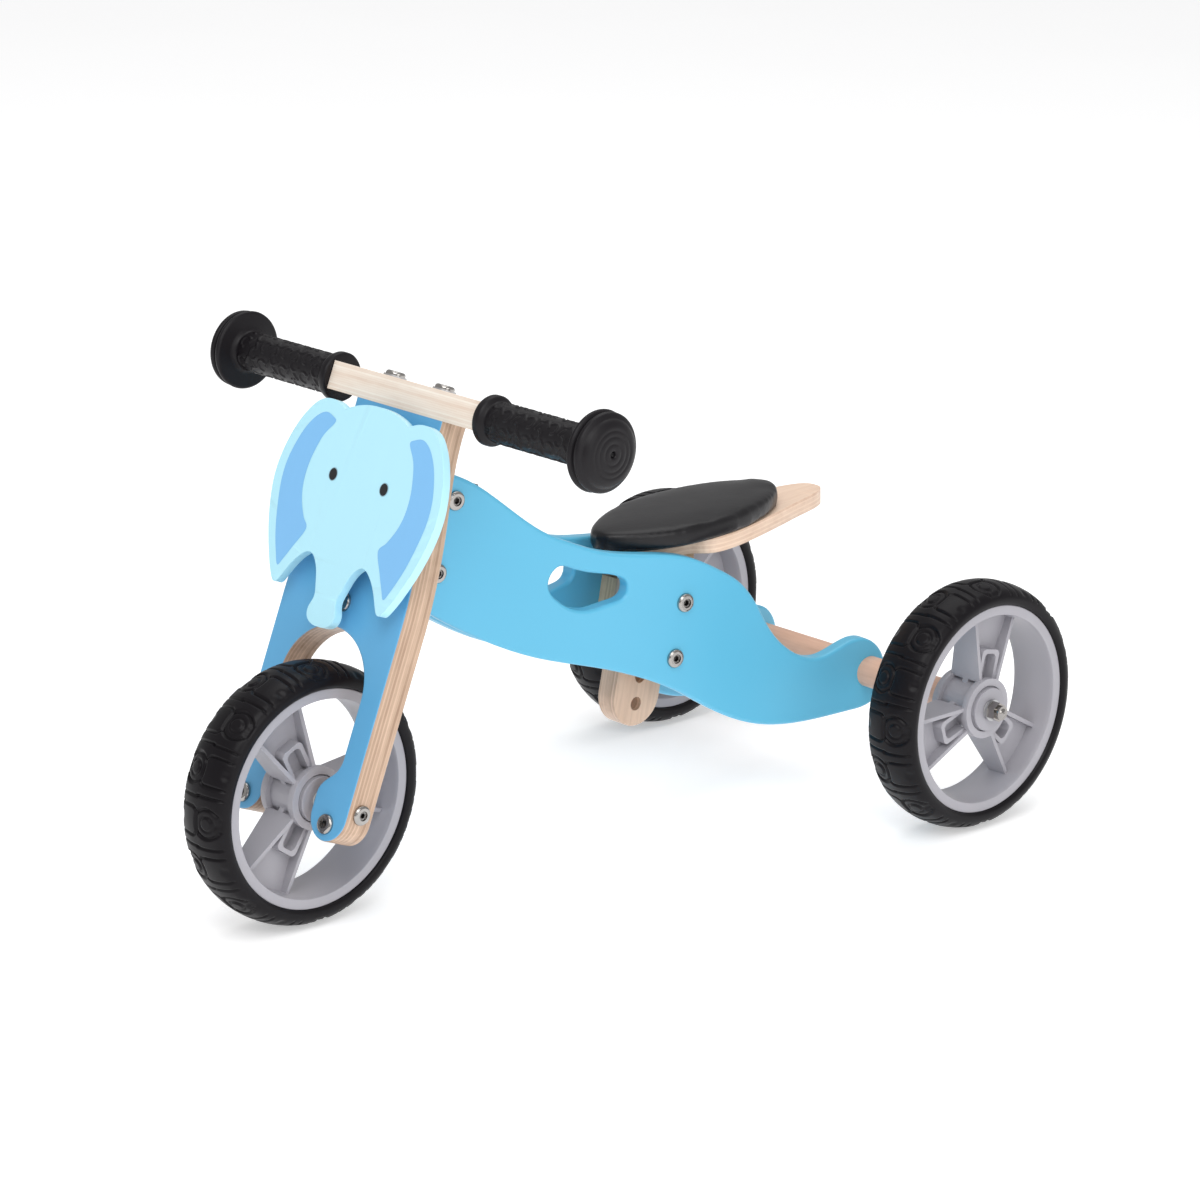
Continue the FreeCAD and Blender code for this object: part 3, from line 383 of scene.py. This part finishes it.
def wood(name, along, across, layer=1.6, layers_shown=1.0, light=(0.80, 0.62, 0.42),
         dark=(0.46, 0.29, 0.16)):
    """Clear varnished plywood, or solid wood when no layers are shown. layer is in millimetres."""
    material, tree, shader = new_material(name)
    grain = group_node(tree, WOOD, Along=along, Across=across, Layer=layer * MM,
                       Layers_shown=layers_shown, Light=(*light, 1), Dark=(*dark, 1))
    tree.links.new(grain.outputs["Color"], shader.inputs["Base Color"])
    rough = varied(tree, grain.outputs["Height"], 0.16, VARNISH_ROUGHNESS)
    tree.links.new(rough, shader.inputs["Roughness"])
    tree.links.new(bump(tree, grain.outputs["Height"], 0.25, 0.0002), shader.inputs["Normal"])
    shader.inputs["Coat Weight"].default_value = 0.15
    shader.inputs["Coat Roughness"].default_value = 0.3
    return material
def painted(name, colour, along, across, bare_edges=False):
    """Satin paint on plywood. With bare edges, only the board's faces are painted."""
    material, tree, shader = new_material(name)
    grain = group_node(tree, WOOD, Along=along, Across=across, Layer=1.7 * MM, Layers_shown=1.0,
                       Light=(*BARE_LIGHT, 1), Dark=(*BARE_DARK, 1))
    finish = group_node(tree, FINISH, Fine=700.0, Broad=9.0)
    relief, broad = grain.outputs["Height"], finish.outputs["Broad value"]
    tone = weighted(tree, (broad, 0.10), (relief, 0.10))
    paint = mix_colour(tree, tone, colour, tuple(c * 0.86 for c in colour))
    if bare_edges:
        paint = mix_colour(tree, grain.outputs["Face mask"], grain.outputs["Color"], paint)
    tree.links.new(paint, shader.inputs["Base Color"])
    rough = varied(tree, broad, 0.12, PAINT_ROUGHNESS - 0.05)
    tree.links.new(rough, shader.inputs["Roughness"])
    height = weighted(tree, (finish.outputs["Fine value"], 0.35), (relief, 0.25))
    tree.links.new(bump(tree, height, 0.10, 0.0002), shader.inputs["Normal"])
    shader.inputs["Coat Weight"].default_value = 0.2
    shader.inputs["Coat Roughness"].default_value = 0.28
    return material


def moulded(name, colour, roughness, fine=900.0, strength=0.15, distance=0.0002,
            variation=0.12, gloss=0.5):
    """Moulded plastic, rubber or foam with a fine skin."""
    material, tree, shader = new_material(name)
    finish = group_node(tree, FINISH, Fine=fine, Broad=26.0)
    fine_value, broad = finish.outputs["Fine value"], finish.outputs["Broad value"]
    darker = tuple(c * (1 - 2 * variation) for c in colour)
    tree.links.new(mix_colour(tree, broad, colour, darker), shader.inputs["Base Color"])
    rough = varied(tree, broad, 0.22, roughness - 0.11)
    tree.links.new(rough, shader.inputs["Roughness"])
    tree.links.new(bump(tree, fine_value, strength, distance), shader.inputs["Normal"])
    shader.inputs["Specular IOR Level"].default_value = gloss
    return material


def metal(name, colour, roughness, brushed=0.12, socket_shade=False):
    """Metal with fine turning marks. One with painted shade is dark in its sockets and grooves."""
    material, tree, shader = new_material(name)
    finish = group_node(tree, FINISH, Fine=1800.0, Broad=120.0)
    fine_value = finish.outputs["Fine value"]
    darker = tuple(c * 0.82 for c in colour)
    tone = mix_colour(tree, finish.outputs["Broad value"], colour, darker)
    if socket_shade:
        # Painted shade: where the mesh is hollow (low pointiness), the colour drops to a tenth,
        # standing in for shade in sockets and grooves.
        shape = tree.nodes.new("ShaderNodeNewGeometry")
        socket_shade_mask = ramp(tree, shape.outputs["Pointiness"], 0.50, 0.40)
        tone = mix_colour(tree, socket_shade_mask, tone, tuple(c * 0.10 for c in colour))
    tree.links.new(tone, shader.inputs["Base Color"])
    rough = varied(tree, fine_value, 0.14, roughness - 0.05)
    tree.links.new(rough, shader.inputs["Roughness"])
    tree.links.new(bump(tree, fine_value, brushed, 0.00008), shader.inputs["Normal"])
    shader.inputs["Metallic"].default_value = 1.0
    return material


def cover_material():
    """Black coated fabric with a fine pebble grain and a low sheen."""
    material, tree, shader = new_material("black seat cover")
    grain = group_node(tree, LEATHER, Scale=950.0)
    creases = grain.outputs["Creases"]
    colour = mix_colour(tree, creases, (0.0045, 0.0040, 0.0050), (0.0095, 0.0085, 0.0105))
    tree.links.new(colour, shader.inputs["Base Color"])
    tree.links.new(varied(tree, creases, 0.12, 0.30), shader.inputs["Roughness"])
    height = weighted(tree, (grain.outputs["Height"], 0.7), (creases, 0.5))
    tree.links.new(bump(tree, height, 0.35, 0.0003), shader.inputs["Normal"])
    shader.inputs["Specular IOR Level"].default_value = 0.35
    return material


# ---------- materials ----------
SKY = (0.108, 0.490, 0.725)
MID = (0.115, 0.410, 0.700)
PALE = (0.470, 0.830, 0.960)
PATCH = (0.215, 0.520, 0.870)
BEECH_LIGHT = (0.66, 0.42, 0.25)
BEECH_DARK = (0.40, 0.22, 0.11)
LEFT_ACROSS = (math.sin(FLARE), math.cos(FLARE), 0)
RIGHT_ACROSS = (math.sin(FLARE), -math.cos(FLARE), 0)
LEFT_ALONG = (math.cos(FLARE), -math.sin(FLARE), 0)
RIGHT_ALONG = (math.cos(FLARE), math.sin(FLARE), 0)
FORK_ALONG = tuple(UP_FORK)
FORK_ACROSS = tuple(FORWARD)

materials = {
    "side_board_left": painted("sky blue paint left", SKY, LEFT_ALONG, LEFT_ACROSS),
    "side_board_right": painted("sky blue paint right", SKY, RIGHT_ALONG, RIGHT_ACROSS),
    "fork_board": painted("mid blue faces with bare ply edges", MID, FORK_ALONG, FORK_ACROSS,
                          bare_edges=True),
    "face_board": painted("pale blue paint", PALE, FORK_ALONG, FORK_ACROSS),
    "handlebar": wood("handlebar plywood", (0, 1, 0), FORK_ALONG, 1.5,
                      light=(1.0, 0.92, 0.82), dark=(0.76, 0.57, 0.44)),
    "seat_post": wood("seat post plywood", POST_ALONG, (0, 1, 0), 1.5,
                      light=(0.72, 0.52, 0.39), dark=(0.38, 0.24, 0.16)),
    "seat_board": wood("seat board plywood", SEAT_ALONG, SEAT_ACROSS, 1.7,
                       light=(0.95, 0.73, 0.57), dark=(0.62, 0.39, 0.26)),
    "seat_cheek_blocks": wood("cheek block plywood", (0, 0, 1), (0, 1, 0)),
    "seat_cleats": wood("cleat beech", (1, 0, 0), (0, 0, 1), layers_shown=0.0,
                        light=BEECH_LIGHT, dark=BEECH_DARK),
    "face_rails": wood("rail beech", FORK_ALONG, FORK_ACROSS, layers_shown=0.0,
                       light=BEECH_LIGHT, dark=BEECH_DARK),
    "rear_axle_dowel": wood("dowel beech", (0, 1, 0), (0, 0, 1), layers_shown=0.0,
                            light=(0.76, 0.47, 0.34), dark=(0.46, 0.24, 0.15)),
}
PLASTIC_SKIN = {"fine": 1500.0, "strength": 0.10, "distance": 0.0001, "variation": 0.05}
rubber = moulded("black grip rubber", (0.0075, 0.006, 0.008), 0.42,
                 fine=1100.0, strength=0.25, gloss=0.25)
foam = moulded("black foam tyre", (0.0060, 0.0048, 0.0065), 0.38,
               fine=1300.0, strength=0.22, gloss=0.17)
rim_plastic = moulded("grey rim plastic", (0.405, 0.395, 0.430), 0.42, **PLASTIC_SKIN)
cap_plastic = moulded("grey cap plastic", (0.375, 0.365, 0.400), 0.38, **PLASTIC_SKIN)
black_plastic = moulded("black base plastic", (0.020, 0.020, 0.021), 0.50)
nylon = moulded("white nylon", (0.62, 0.62, 0.60), 0.40, fine=1200.0, strength=0.1)
powder = moulded("black powder coat", (0.030, 0.030, 0.032), 0.45, fine=1600.0, strength=0.35)
plain_steel = metal("zinc plated steel", (0.56, 0.56, 0.57), 0.34)
# The bolts get painted shade, dark in their sockets and grooves.
bright_steel = metal("bright bolt steel", (0.44, 0.42, 0.40), 0.15, socket_shade=True)
chrome = metal("chrome", (0.36, 0.34, 0.325), 0.10, brushed=0.02)
eye_black = moulded("eye black print", (0.012, 0.012, 0.014), 0.35)
eye_ring = moulded("eye ring print", (0.36, 0.60, 0.72), 0.40)
ear_patch = painted("ear patch print", PATCH, FORK_ALONG, FORK_ACROSS)

by_slot = {"black_rubber": rubber, "black_tyre": foam, "grey_plastic": rim_plastic,
           "dark_grey_plastic": cap_plastic, "black_plastic": black_plastic, "white_nylon": nylon,
           "black_steel": powder, "plain_steel": plain_steel, "bolt_steel": bright_steel,
           "chrome": chrome, "black_seat_cover": cover_material()}
slot_of = {part["node"]: part["material_slot"] for part in frame["record"]["subparts"]}
for name, node in nodes.items():
    material = materials.get(name) or by_slot[slot_of[name]]
    for material_slot in node.material_slots:
        material_slot.material = material


# ---------- softened edges on the CAD boards and mouldings ----------
WELD_DISTANCE = 0.00002
SHARP_ANGLE = math.radians(38)


def soften(name, width):
    """Rounds a CAD node's sharp edges a little."""
    node = nodes[name]
    weld = node.modifiers.new("weld", "WELD")
    weld.merge_threshold = WELD_DISTANCE
    rounding = node.modifiers.new("rounding", "BEVEL")
    rounding.width = width * MM
    rounding.segments = 2
    rounding.limit_method = "ANGLE"
    rounding.angle_limit = SHARP_ANGLE
    rounding.use_clamp_overlap = True
    rounding.harden_normals = True


for name, width in (("face_board", 1.2), ("handlebar", 1.2), ("seat_board", 1.6)):
    soften(name, width)
for wheel in ("front", "rear_left", "rear_right"):
    for part, width in (("rim", 0.6), ("spokes", 0.5), ("hub_caps", 0.4)):
        soften(wheel + "_" + part, width)


# ---------- tyres ----------
TYRE_RADIUS = 95.0
CROWN_HALF = 17.2
CROWN_DROP = 3.4
TREAD_REPEATS = 8
PITCH = 360.0 / TREAD_REPEATS
TREAD_RADIUS = 94.0
DEEPEST_GROOVE = 2.2
BOSS_SIDE = 9.5
BOSS_RADIUS = 10.8
BOSS_RING = 5.4
BLOCK_END = 6.0
BLOCK_HALF_LONG, BLOCK_HALF_WIDE, BLOCK_CORNER = 10.5, 16.0, 5.0
CROSS_GROOVE = 18.0
TYRE_STEPS = 840


def outer_line():
    """The tyre's cross-section over the tread, from one rim lip to the other."""
    right = [(80.1, 20.9), (81.4, 21.9), (83.0, 22.25), (84.8, 22.25), (86.6, 21.8),
             (88.2, 21.0), (89.6, 19.9), (90.7, 18.6), (91.6, CROWN_HALF)]
    crown = [(TYRE_RADIUS - CROWN_DROP * (abs(y) / CROWN_HALF) ** 2.2, y)
             for y in np.linspace(16.4, -16.4, 48)]
    left = [(radius, -y) for radius, y in reversed(right)]
    return [(77.1, 16.9), (80.1, 17.0)] + right + crown + left + [(80.1, -17.0), (77.1, -16.9)]


def rounded_box(along, across, half_long, half_wide, corner):
    """Distance to a rounded rectangle's outline, negative inside."""
    qx = np.abs(along) - half_long + corner
    qy = np.abs(across) - half_wide + corner
    outside = np.hypot(np.maximum(qx, 0), np.maximum(qy, 0))
    return outside + np.minimum(np.maximum(qx, qy), 0) - corner


def groove(distance, width, depth):
    """A soft groove where distance is near zero."""
    return -depth * (1 - smoothstep(width * 0.35, width, np.abs(distance)))


def tread(angles, radii, widths):
    """Carves ringed bosses, open blocks and cross grooves into the tyre's tread."""
    theta = np.degrees(angles)[:, None]
    crown = (radii > 89.0) & (np.abs(widths) < 20.5)
    depth = np.zeros_like(radii)
    per_degree = math.radians(1) * TREAD_RADIUS
    for side, start in ((1, 0.0), (-1, PITCH / 2)):
        on_side = smoothstep(-2.5, 0.5, widths * side)
        across = widths * side - BOSS_SIDE
        boss = ((theta - start + PITCH / 2) % PITCH - PITCH / 2) * per_degree
        reach = np.hypot(boss, across)
        shape = groove(reach - BOSS_RADIUS, 1.5, 1.8) + groove(reach - BOSS_RING, 1.3, 1.2)
        inside_boss = 1 - smoothstep(9.8, 11.0, reach)
        shape = shape - 0.7 * smoothstep(BOSS_RING, 6.6, reach) * inside_boss
        block = ((theta - start) % PITCH - PITCH / 2) * per_degree
        outline = rounded_box(block, across - BLOCK_END, BLOCK_HALF_LONG, BLOCK_HALF_WIDE,
                              BLOCK_CORNER)
        shape = shape + groove(outline, 1.3, 1.7)
        shape = shape + groove(np.abs(block) - CROSS_GROOVE, 1.2, 1.6)
        depth = depth + shape * on_side
    notch = ((theta + PITCH / 4) % (PITCH / 2) - PITCH / 4) * per_degree
    beside = np.abs(widths)
    shoulder = smoothstep(14.5, 18.0, beside) * (1 - smoothstep(19.6, 21.0, beside))
    depth = depth - 1.2 * (1 - smoothstep(0.0, 5.0, np.abs(notch))) * shoulder
    return radii + np.clip(depth, -DEEPEST_GROOVE, 0) * crown


def make_tyres():
    """Three foam tyres that share one treaded form."""
    verts, faces = turned(outer_line(), TYRE_STEPS, tread)
    for name, hub in (("front", FRONT_HUB), ("rear_left", REAR_LEFT_HUB),
                      ("rear_right", REAR_RIGHT_HUB)):
        placed = verts * MM + np.array(hub)
        tyre = new_piece(name + "_tyre_tread", placed, faces, foam, name + "_wheel")
        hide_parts(name + "_tyre")


make_tyres()


# ---------- grips ----------
TUBE_RADIUS = 14.0
TUBE_FROM, TUBE_TO = 87.6, 180.6
GRIP_STEPS = 180
BAR_UP_FORK = 287.3


def grip_line():
    """The grip's outline from its inner flange to its closed end: (radius, place on the bar)."""
    flange = [(10.1, 78.3), (16.6, 78.3), (17.5, 78.7), (18.0, 79.6), (18.0, 83.2), (17.4, 84.6),
              (16.2, 85.4), (14.9, 85.9), (14.1, 86.8)]
    tube = [(TUBE_RADIUS, y) for y in np.linspace(TUBE_FROM, TUBE_TO, 130)]
    guard = [(14.3, 181.4), (15.4, 182.7), (18.0, 183.6), (26.4, 184.0), (27.8, 184.4),
             (28.5, 185.2), (28.7, 186.0), (28.4, 187.2), (27.3, 188.1), (25.6, 188.5),
             (25.0, 189.2), (25.4, 190.0), (26.8, 190.4), (27.7, 191.1), (28.0, 192.2),
             (27.8, 193.6), (26.8, 194.8), (25.3, 195.3), (24.3, 195.7), (23.8, 196.6),
             (23.0, 198.0), (21.4, 199.2), (19.2, 199.9), (17.0, 200.3)]
    end_rings = [(16.4, 200.0), (15.8, 200.35), (13.0, 200.65), (12.4, 200.35), (11.8, 200.7),
                 (8.0, 200.9), (7.4, 200.6), (6.8, 200.95), (3.4, 201.0), (2.6, 200.7),
                 (2.2, 199.8), (2.0, 198.0), (0.01, 197.8)]
    return flange + tube + guard + end_rings


HOOKS_AROUND = 6
HOOK_ROWS = 8
HOOK_FIRST = 93.0
HOOK_PITCH = 11.6
HOOK_SLANT = 0.6
HOOK_SHIFT = 1.6
HOOK_BEND = 4.2
HOOK_HEIGHT = 0.75
OUT_OF_REACH = 9.0


def hooks(angles, radii, widths):
    """Raises a pattern of curved hooks on the grip's tube."""
    theta = angles[:, None]
    tube = (widths > 87.5) & (widths < 180.7)
    height = np.zeros_like(radii)
    for row in range(HOOK_ROWS):
        along = widths - (HOOK_FIRST + row * HOOK_PITCH)
        slant = HOOK_SLANT if row % 2 else -HOOK_SLANT
        for k in range(HOOKS_AROUND):
            turn = 2 * math.pi * (k + (row % 2) * 0.5) / HOOKS_AROUND
            around = ((theta - turn + math.pi) % (2 * math.pi) - math.pi) * TUBE_RADIUS
            a = around * math.cos(slant) - along * math.sin(slant)
            b = around * math.sin(slant) + along * math.cos(slant)
            bearing = np.arctan2(b, a + HOOK_SHIFT)
            arc = np.abs(np.hypot(a + HOOK_SHIFT, b) - HOOK_BEND)
            arc = np.where((bearing > -0.4) | (bearing < -2.4), arc, OUT_OF_REACH)
            aside = b + 3.9 * (a > 0) + OUT_OF_REACH * (a <= 0)
            tail = np.hypot(np.maximum(np.abs(a - 3.4) - 3.0, 0), aside)
            near = np.minimum(arc, tail)
            height = np.maximum(height, HOOK_HEIGHT * (1 - smoothstep(0.5, 1.25, near)))
    rows = smoothstep(TUBE_FROM, 89.5, widths) * (1 - smoothstep(178.5, 180.5, widths))
    return radii + height * tube * rows


def make_grips():
    """Two moulded rubber grips with guard rings."""
    verts, faces = turned(grip_line(), GRIP_STEPS, hooks)
    bar_middle = np.array(fork_point(0, 0, BAR_UP_FORK))
    tilt = np.array(Matrix.Rotation(-RAKE, 3, "Y"))
    for name, side in (("grip_left", 1), ("grip_right", -1)):
        shape = verts.copy()
        shape[:, 1] *= side
        placed = (shape @ tilt.T) * MM + bar_middle
        order = [face[::side] for face in faces]
        piece = new_piece(name + "_moulded", placed, order, rubber, "fork")
        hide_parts(name)


make_grips()


# ---------- the face board's print ----------
EAR_PATCH = [(39.5, 256), (44, 259.5), (50, 261), (55.5, 259.5), (62, 254.5), (68.5, 245.5),
             (73.5, 234), (77, 221), (77.5, 208), (75.5, 195), (72, 181), (68, 169), (62, 156),
             (57, 148), (52.5, 154), (46.5, 164), (38.5, 178.5), (44.5, 186), (50.5, 196),
             (54, 207), (54.5, 220), (52, 233), (47.5, 245)]
FACE_FRONT = 30.0
PRINT_LIFT = 0.12
EYE_SIDE = 27.0
EYE_V = 220.5
EYE_RING_HALVES = (4.5, 5.0)
EYE_HALVES = (3.85, 4.35)
OVAL_STEPS = 40


def flat_print(name, outline, lift, material):
    """A thin printed shape on the face board's front."""
    verts = [fork_point(FACE_FRONT + lift, y, v) for y, v in outline]
    piece = new_piece(name, verts, [list(range(len(verts)))], material, "fork", False)
    shape = bmesh.new()
    shape.from_mesh(piece.data)
    bmesh.ops.recalc_face_normals(shape, faces=shape.faces)
    for face in shape.faces:
        if face.normal.dot(FORWARD) < 0:
            face.normal_flip()
    bmesh.ops.triangulate(shape, faces=shape.faces)
    shape.to_mesh(piece.data)
    shape.free()


def oval(y, v, half_wide, half_high):
    """Points round an oval."""
    turns = [2 * math.pi * k / OVAL_STEPS for k in range(OVAL_STEPS)]
    return [(y + half_wide * math.cos(turn), v + half_high * math.sin(turn)) for turn in turns]


def make_print():
    """Ear patches and eyes."""
    for side, label in ((1, "left"), (-1, "right")):
        ear = [(side * y, v) for y, v in catmull(EAR_PATCH, 6)]
        ring = oval(side * EYE_SIDE, EYE_V, *EYE_RING_HALVES)
        eye = oval(side * EYE_SIDE, EYE_V, *EYE_HALVES)
        flat_print("ear_patch_" + label, ear, PRINT_LIFT, ear_patch)
        flat_print("eye_ring_" + label, ring, PRINT_LIFT, eye_ring)
        flat_print("eye_" + label, eye, PRINT_LIFT * 2, eye_black)


make_print()


# ---------- the seat pad ----------
PAD_VOXEL = 0.003
PAD_CAP = 0.006
PAD_SLOPE = math.tan(SEAT_PITCH)
PAD_START = 0.86
PAD_LENGTH_KEPT = 0.99
PAD_WIDTH_KEPT = 0.975
HELD_HEIGHT = 0.004
SWELL_FRAMES = 20


def over_slope(point):
    """A point's height measured from a plane with the seat's pitch."""
    return point.z + PAD_SLOPE * point.x


def pad_start():
    """A copy of the pad's CAD solid, slightly smaller, to be remeshed evenly."""
    source = nodes["seat_pad"]
    mesh = source.data.copy()
    pad = bpy.data.objects.new("seat_cushion", mesh)
    bpy.context.scene.collection.objects.link(pad)
    middle = centre("seat_pad")
    floor = min(over_slope(vertex.co) for vertex in mesh.vertices)
    for vertex in mesh.vertices:
        x = middle.x + (vertex.co.x - middle.x) * PAD_LENGTH_KEPT
        y = vertex.co.y * PAD_WIDTH_KEPT
        rise = over_slope(vertex.co) - floor
        vertex.co = (x, y, floor - PAD_SLOPE * x + rise * PAD_START)
    remesh = pad.modifiers.new("remesh", "REMESH")
    remesh.mode = "VOXEL"
    remesh.voxel_size = PAD_VOXEL
    return pad


def applied(piece):
    """Replaces a piece's mesh with what its modifiers make of it."""
    graph = bpy.context.evaluated_depsgraph_get()
    mesh = bpy.data.meshes.new_from_object(piece.evaluated_get(graph))
    piece.modifiers.clear()
    piece.data = mesh


def inflate(pad):
    """Lets the cover swell over its foam, its underside held by the base board."""
    held = pad.vertex_groups.new(name="held")
    heights = [over_slope(vertex.co) for vertex in pad.data.vertices]
    top_held = min(heights) + HELD_HEIGHT
    held.add([i for i, height in enumerate(heights) if height < top_held], 1.0, "REPLACE")
    before = np.array([v.co[:] for v in pad.data.vertices])
    cloth = pad.modifiers.new("cloth", "CLOTH")
    cloth.settings.quality = 6
    cloth.settings.mass = 0.3
    cloth.settings.tension_stiffness = 30
    cloth.settings.compression_stiffness = 30
    cloth.settings.bending_stiffness = 8
    cloth.settings.use_pressure = True
    cloth.settings.uniform_pressure_force = 4.0
    cloth.settings.vertex_group_mass = "held"
    cloth.settings.effector_weights.gravity = 0
    cloth.collision_settings.use_self_collision = False
    scene = bpy.context.scene
    for step in range(1, SWELL_FRAMES + 1):
        scene.frame_set(step)
    graph = bpy.context.evaluated_depsgraph_get()
    after = np.array([v.co[:] for v in pad.evaluated_get(graph).data.vertices])
    pad.modifiers.clear()
    moved = after - before
    length = np.linalg.norm(moved, axis=1)
    scale = np.minimum(1.0, PAD_CAP / np.maximum(length, 1e-9))
    result = before + moved * scale[:, None]
    for vertex, place in zip(pad.data.vertices, result):
        vertex.co = place
    scene.frame_set(1)


def make_cushion():
    """The upholstered cushion."""
    pad = pad_start()
    applied(pad)
    inflate(pad)
    pad.vertex_groups.clear()
    smooth = pad.modifiers.new("smooth", "SMOOTH")
    smooth.factor = 0.5
    smooth.iterations = 9
    divide = pad.modifiers.new("divide", "SUBSURF")
    divide.levels = 1
    divide.render_levels = 1
    applied(pad)
    pad.data.materials.clear()
    pad.data.materials.append(by_slot["black_seat_cover"])
    pad.data.polygons.foreach_set("use_smooth", [True] * len(pad.data.polygons))
    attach(pad, "frame")
    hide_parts("seat_pad")


make_cushion()


# ---------- floor, light and camera ----------
FLOOR_HALF = 20
FLOOR_GLOW = 0.42
SURROUND_GLOW = 0.50
CAMERA_PLACE = (2.161, 2.283, 1.126)
CAMERA_RIGHT = (-0.7255, 0.6880, 0.0194)
CAMERA_UP = (-0.1835, -0.2205, 0.9580)


def make_floor():
    """A plain pale floor."""
    mesh = bpy.data.meshes.new("floor")
    corners = [(-1, -1), (1, -1), (1, 1), (-1, 1)]
    mesh.from_pydata([(x * FLOOR_HALF, y * FLOOR_HALF, 0) for x, y in corners], [],
                     [(0, 1, 2, 3)])
    floor = bpy.data.objects.new("floor", mesh)
    bpy.context.scene.collection.objects.link(floor)
    material, tree, shader = new_material("pale floor")
    coords = tree.nodes.new("ShaderNodeTexCoord")
    mottle = noise(tree, coords.outputs["Object"], 3.0, 2.0, 0.5)
    tree.links.new(mix_colour(tree, mottle, (0.90, 0.90, 0.905), (0.93, 0.93, 0.935)),
                   shader.inputs["Base Color"])
    shader.inputs["Roughness"].default_value = 0.6
    shader.inputs["Specular IOR Level"].default_value = 0.1
    shader.inputs["Emission Color"].default_value = (1, 1, 1, 1)
    shader.inputs["Emission Strength"].default_value = FLOOR_GLOW
    mesh.materials.append(material)


def make_light(name, place, aim, size, power):
    """A soft square light."""
    lamp = bpy.data.lights.new(name, "AREA")
    lamp.shape = "SQUARE"
    lamp.size = size
    lamp.energy = power
    holder = bpy.data.objects.new(name, lamp)
    bpy.context.scene.collection.objects.link(holder)
    holder.location = place
    holder.rotation_euler = (Vector(aim) - Vector(place)).to_track_quat("-Z", "Y").to_euler()


def make_studio():
    """Soft light from above and the front, with a bright surround."""
    world = bpy.data.worlds.new("surround")
    bpy.context.scene.world = world
    world.use_nodes = True
    surround = world.node_tree.nodes["Background"]
    surround.inputs["Color"].default_value = (1, 1, 1, 1)
    surround.inputs["Strength"].default_value = SURROUND_GLOW
    make_light("key", (1.6, 1.4, 2.6), (0, 0, 0.15), 2.0, 44)
    make_light("fill", (0.4, 3.0, 1.4), (0, 0, 0.2), 1.6, 20)
    make_light("top", (-0.8, -0.4, 2.8), (0, 0, 0), 2.0, 20)
    bpy.context.scene.view_settings.view_transform = "Standard"


def make_camera():
    """The camera, in front of the bike's left side and a little above it."""
    lens = bpy.data.cameras.new("camera")
    lens.lens = 134.27
    lens.sensor_width = 36.0
    holder = bpy.data.objects.new("camera", lens)
    bpy.context.scene.collection.objects.link(holder)
    right = Vector(CAMERA_RIGHT).normalized()
    up = Vector(CAMERA_UP).normalized()
    back = right.cross(up).normalized()
    up = back.cross(right).normalized()
    turn = Matrix((right, up, back)).transposed()
    holder.matrix_world = Matrix.Translation(CAMERA_PLACE) @ turn.to_4x4()
    bpy.context.scene.camera = holder


make_floor()
make_studio()
make_camera()
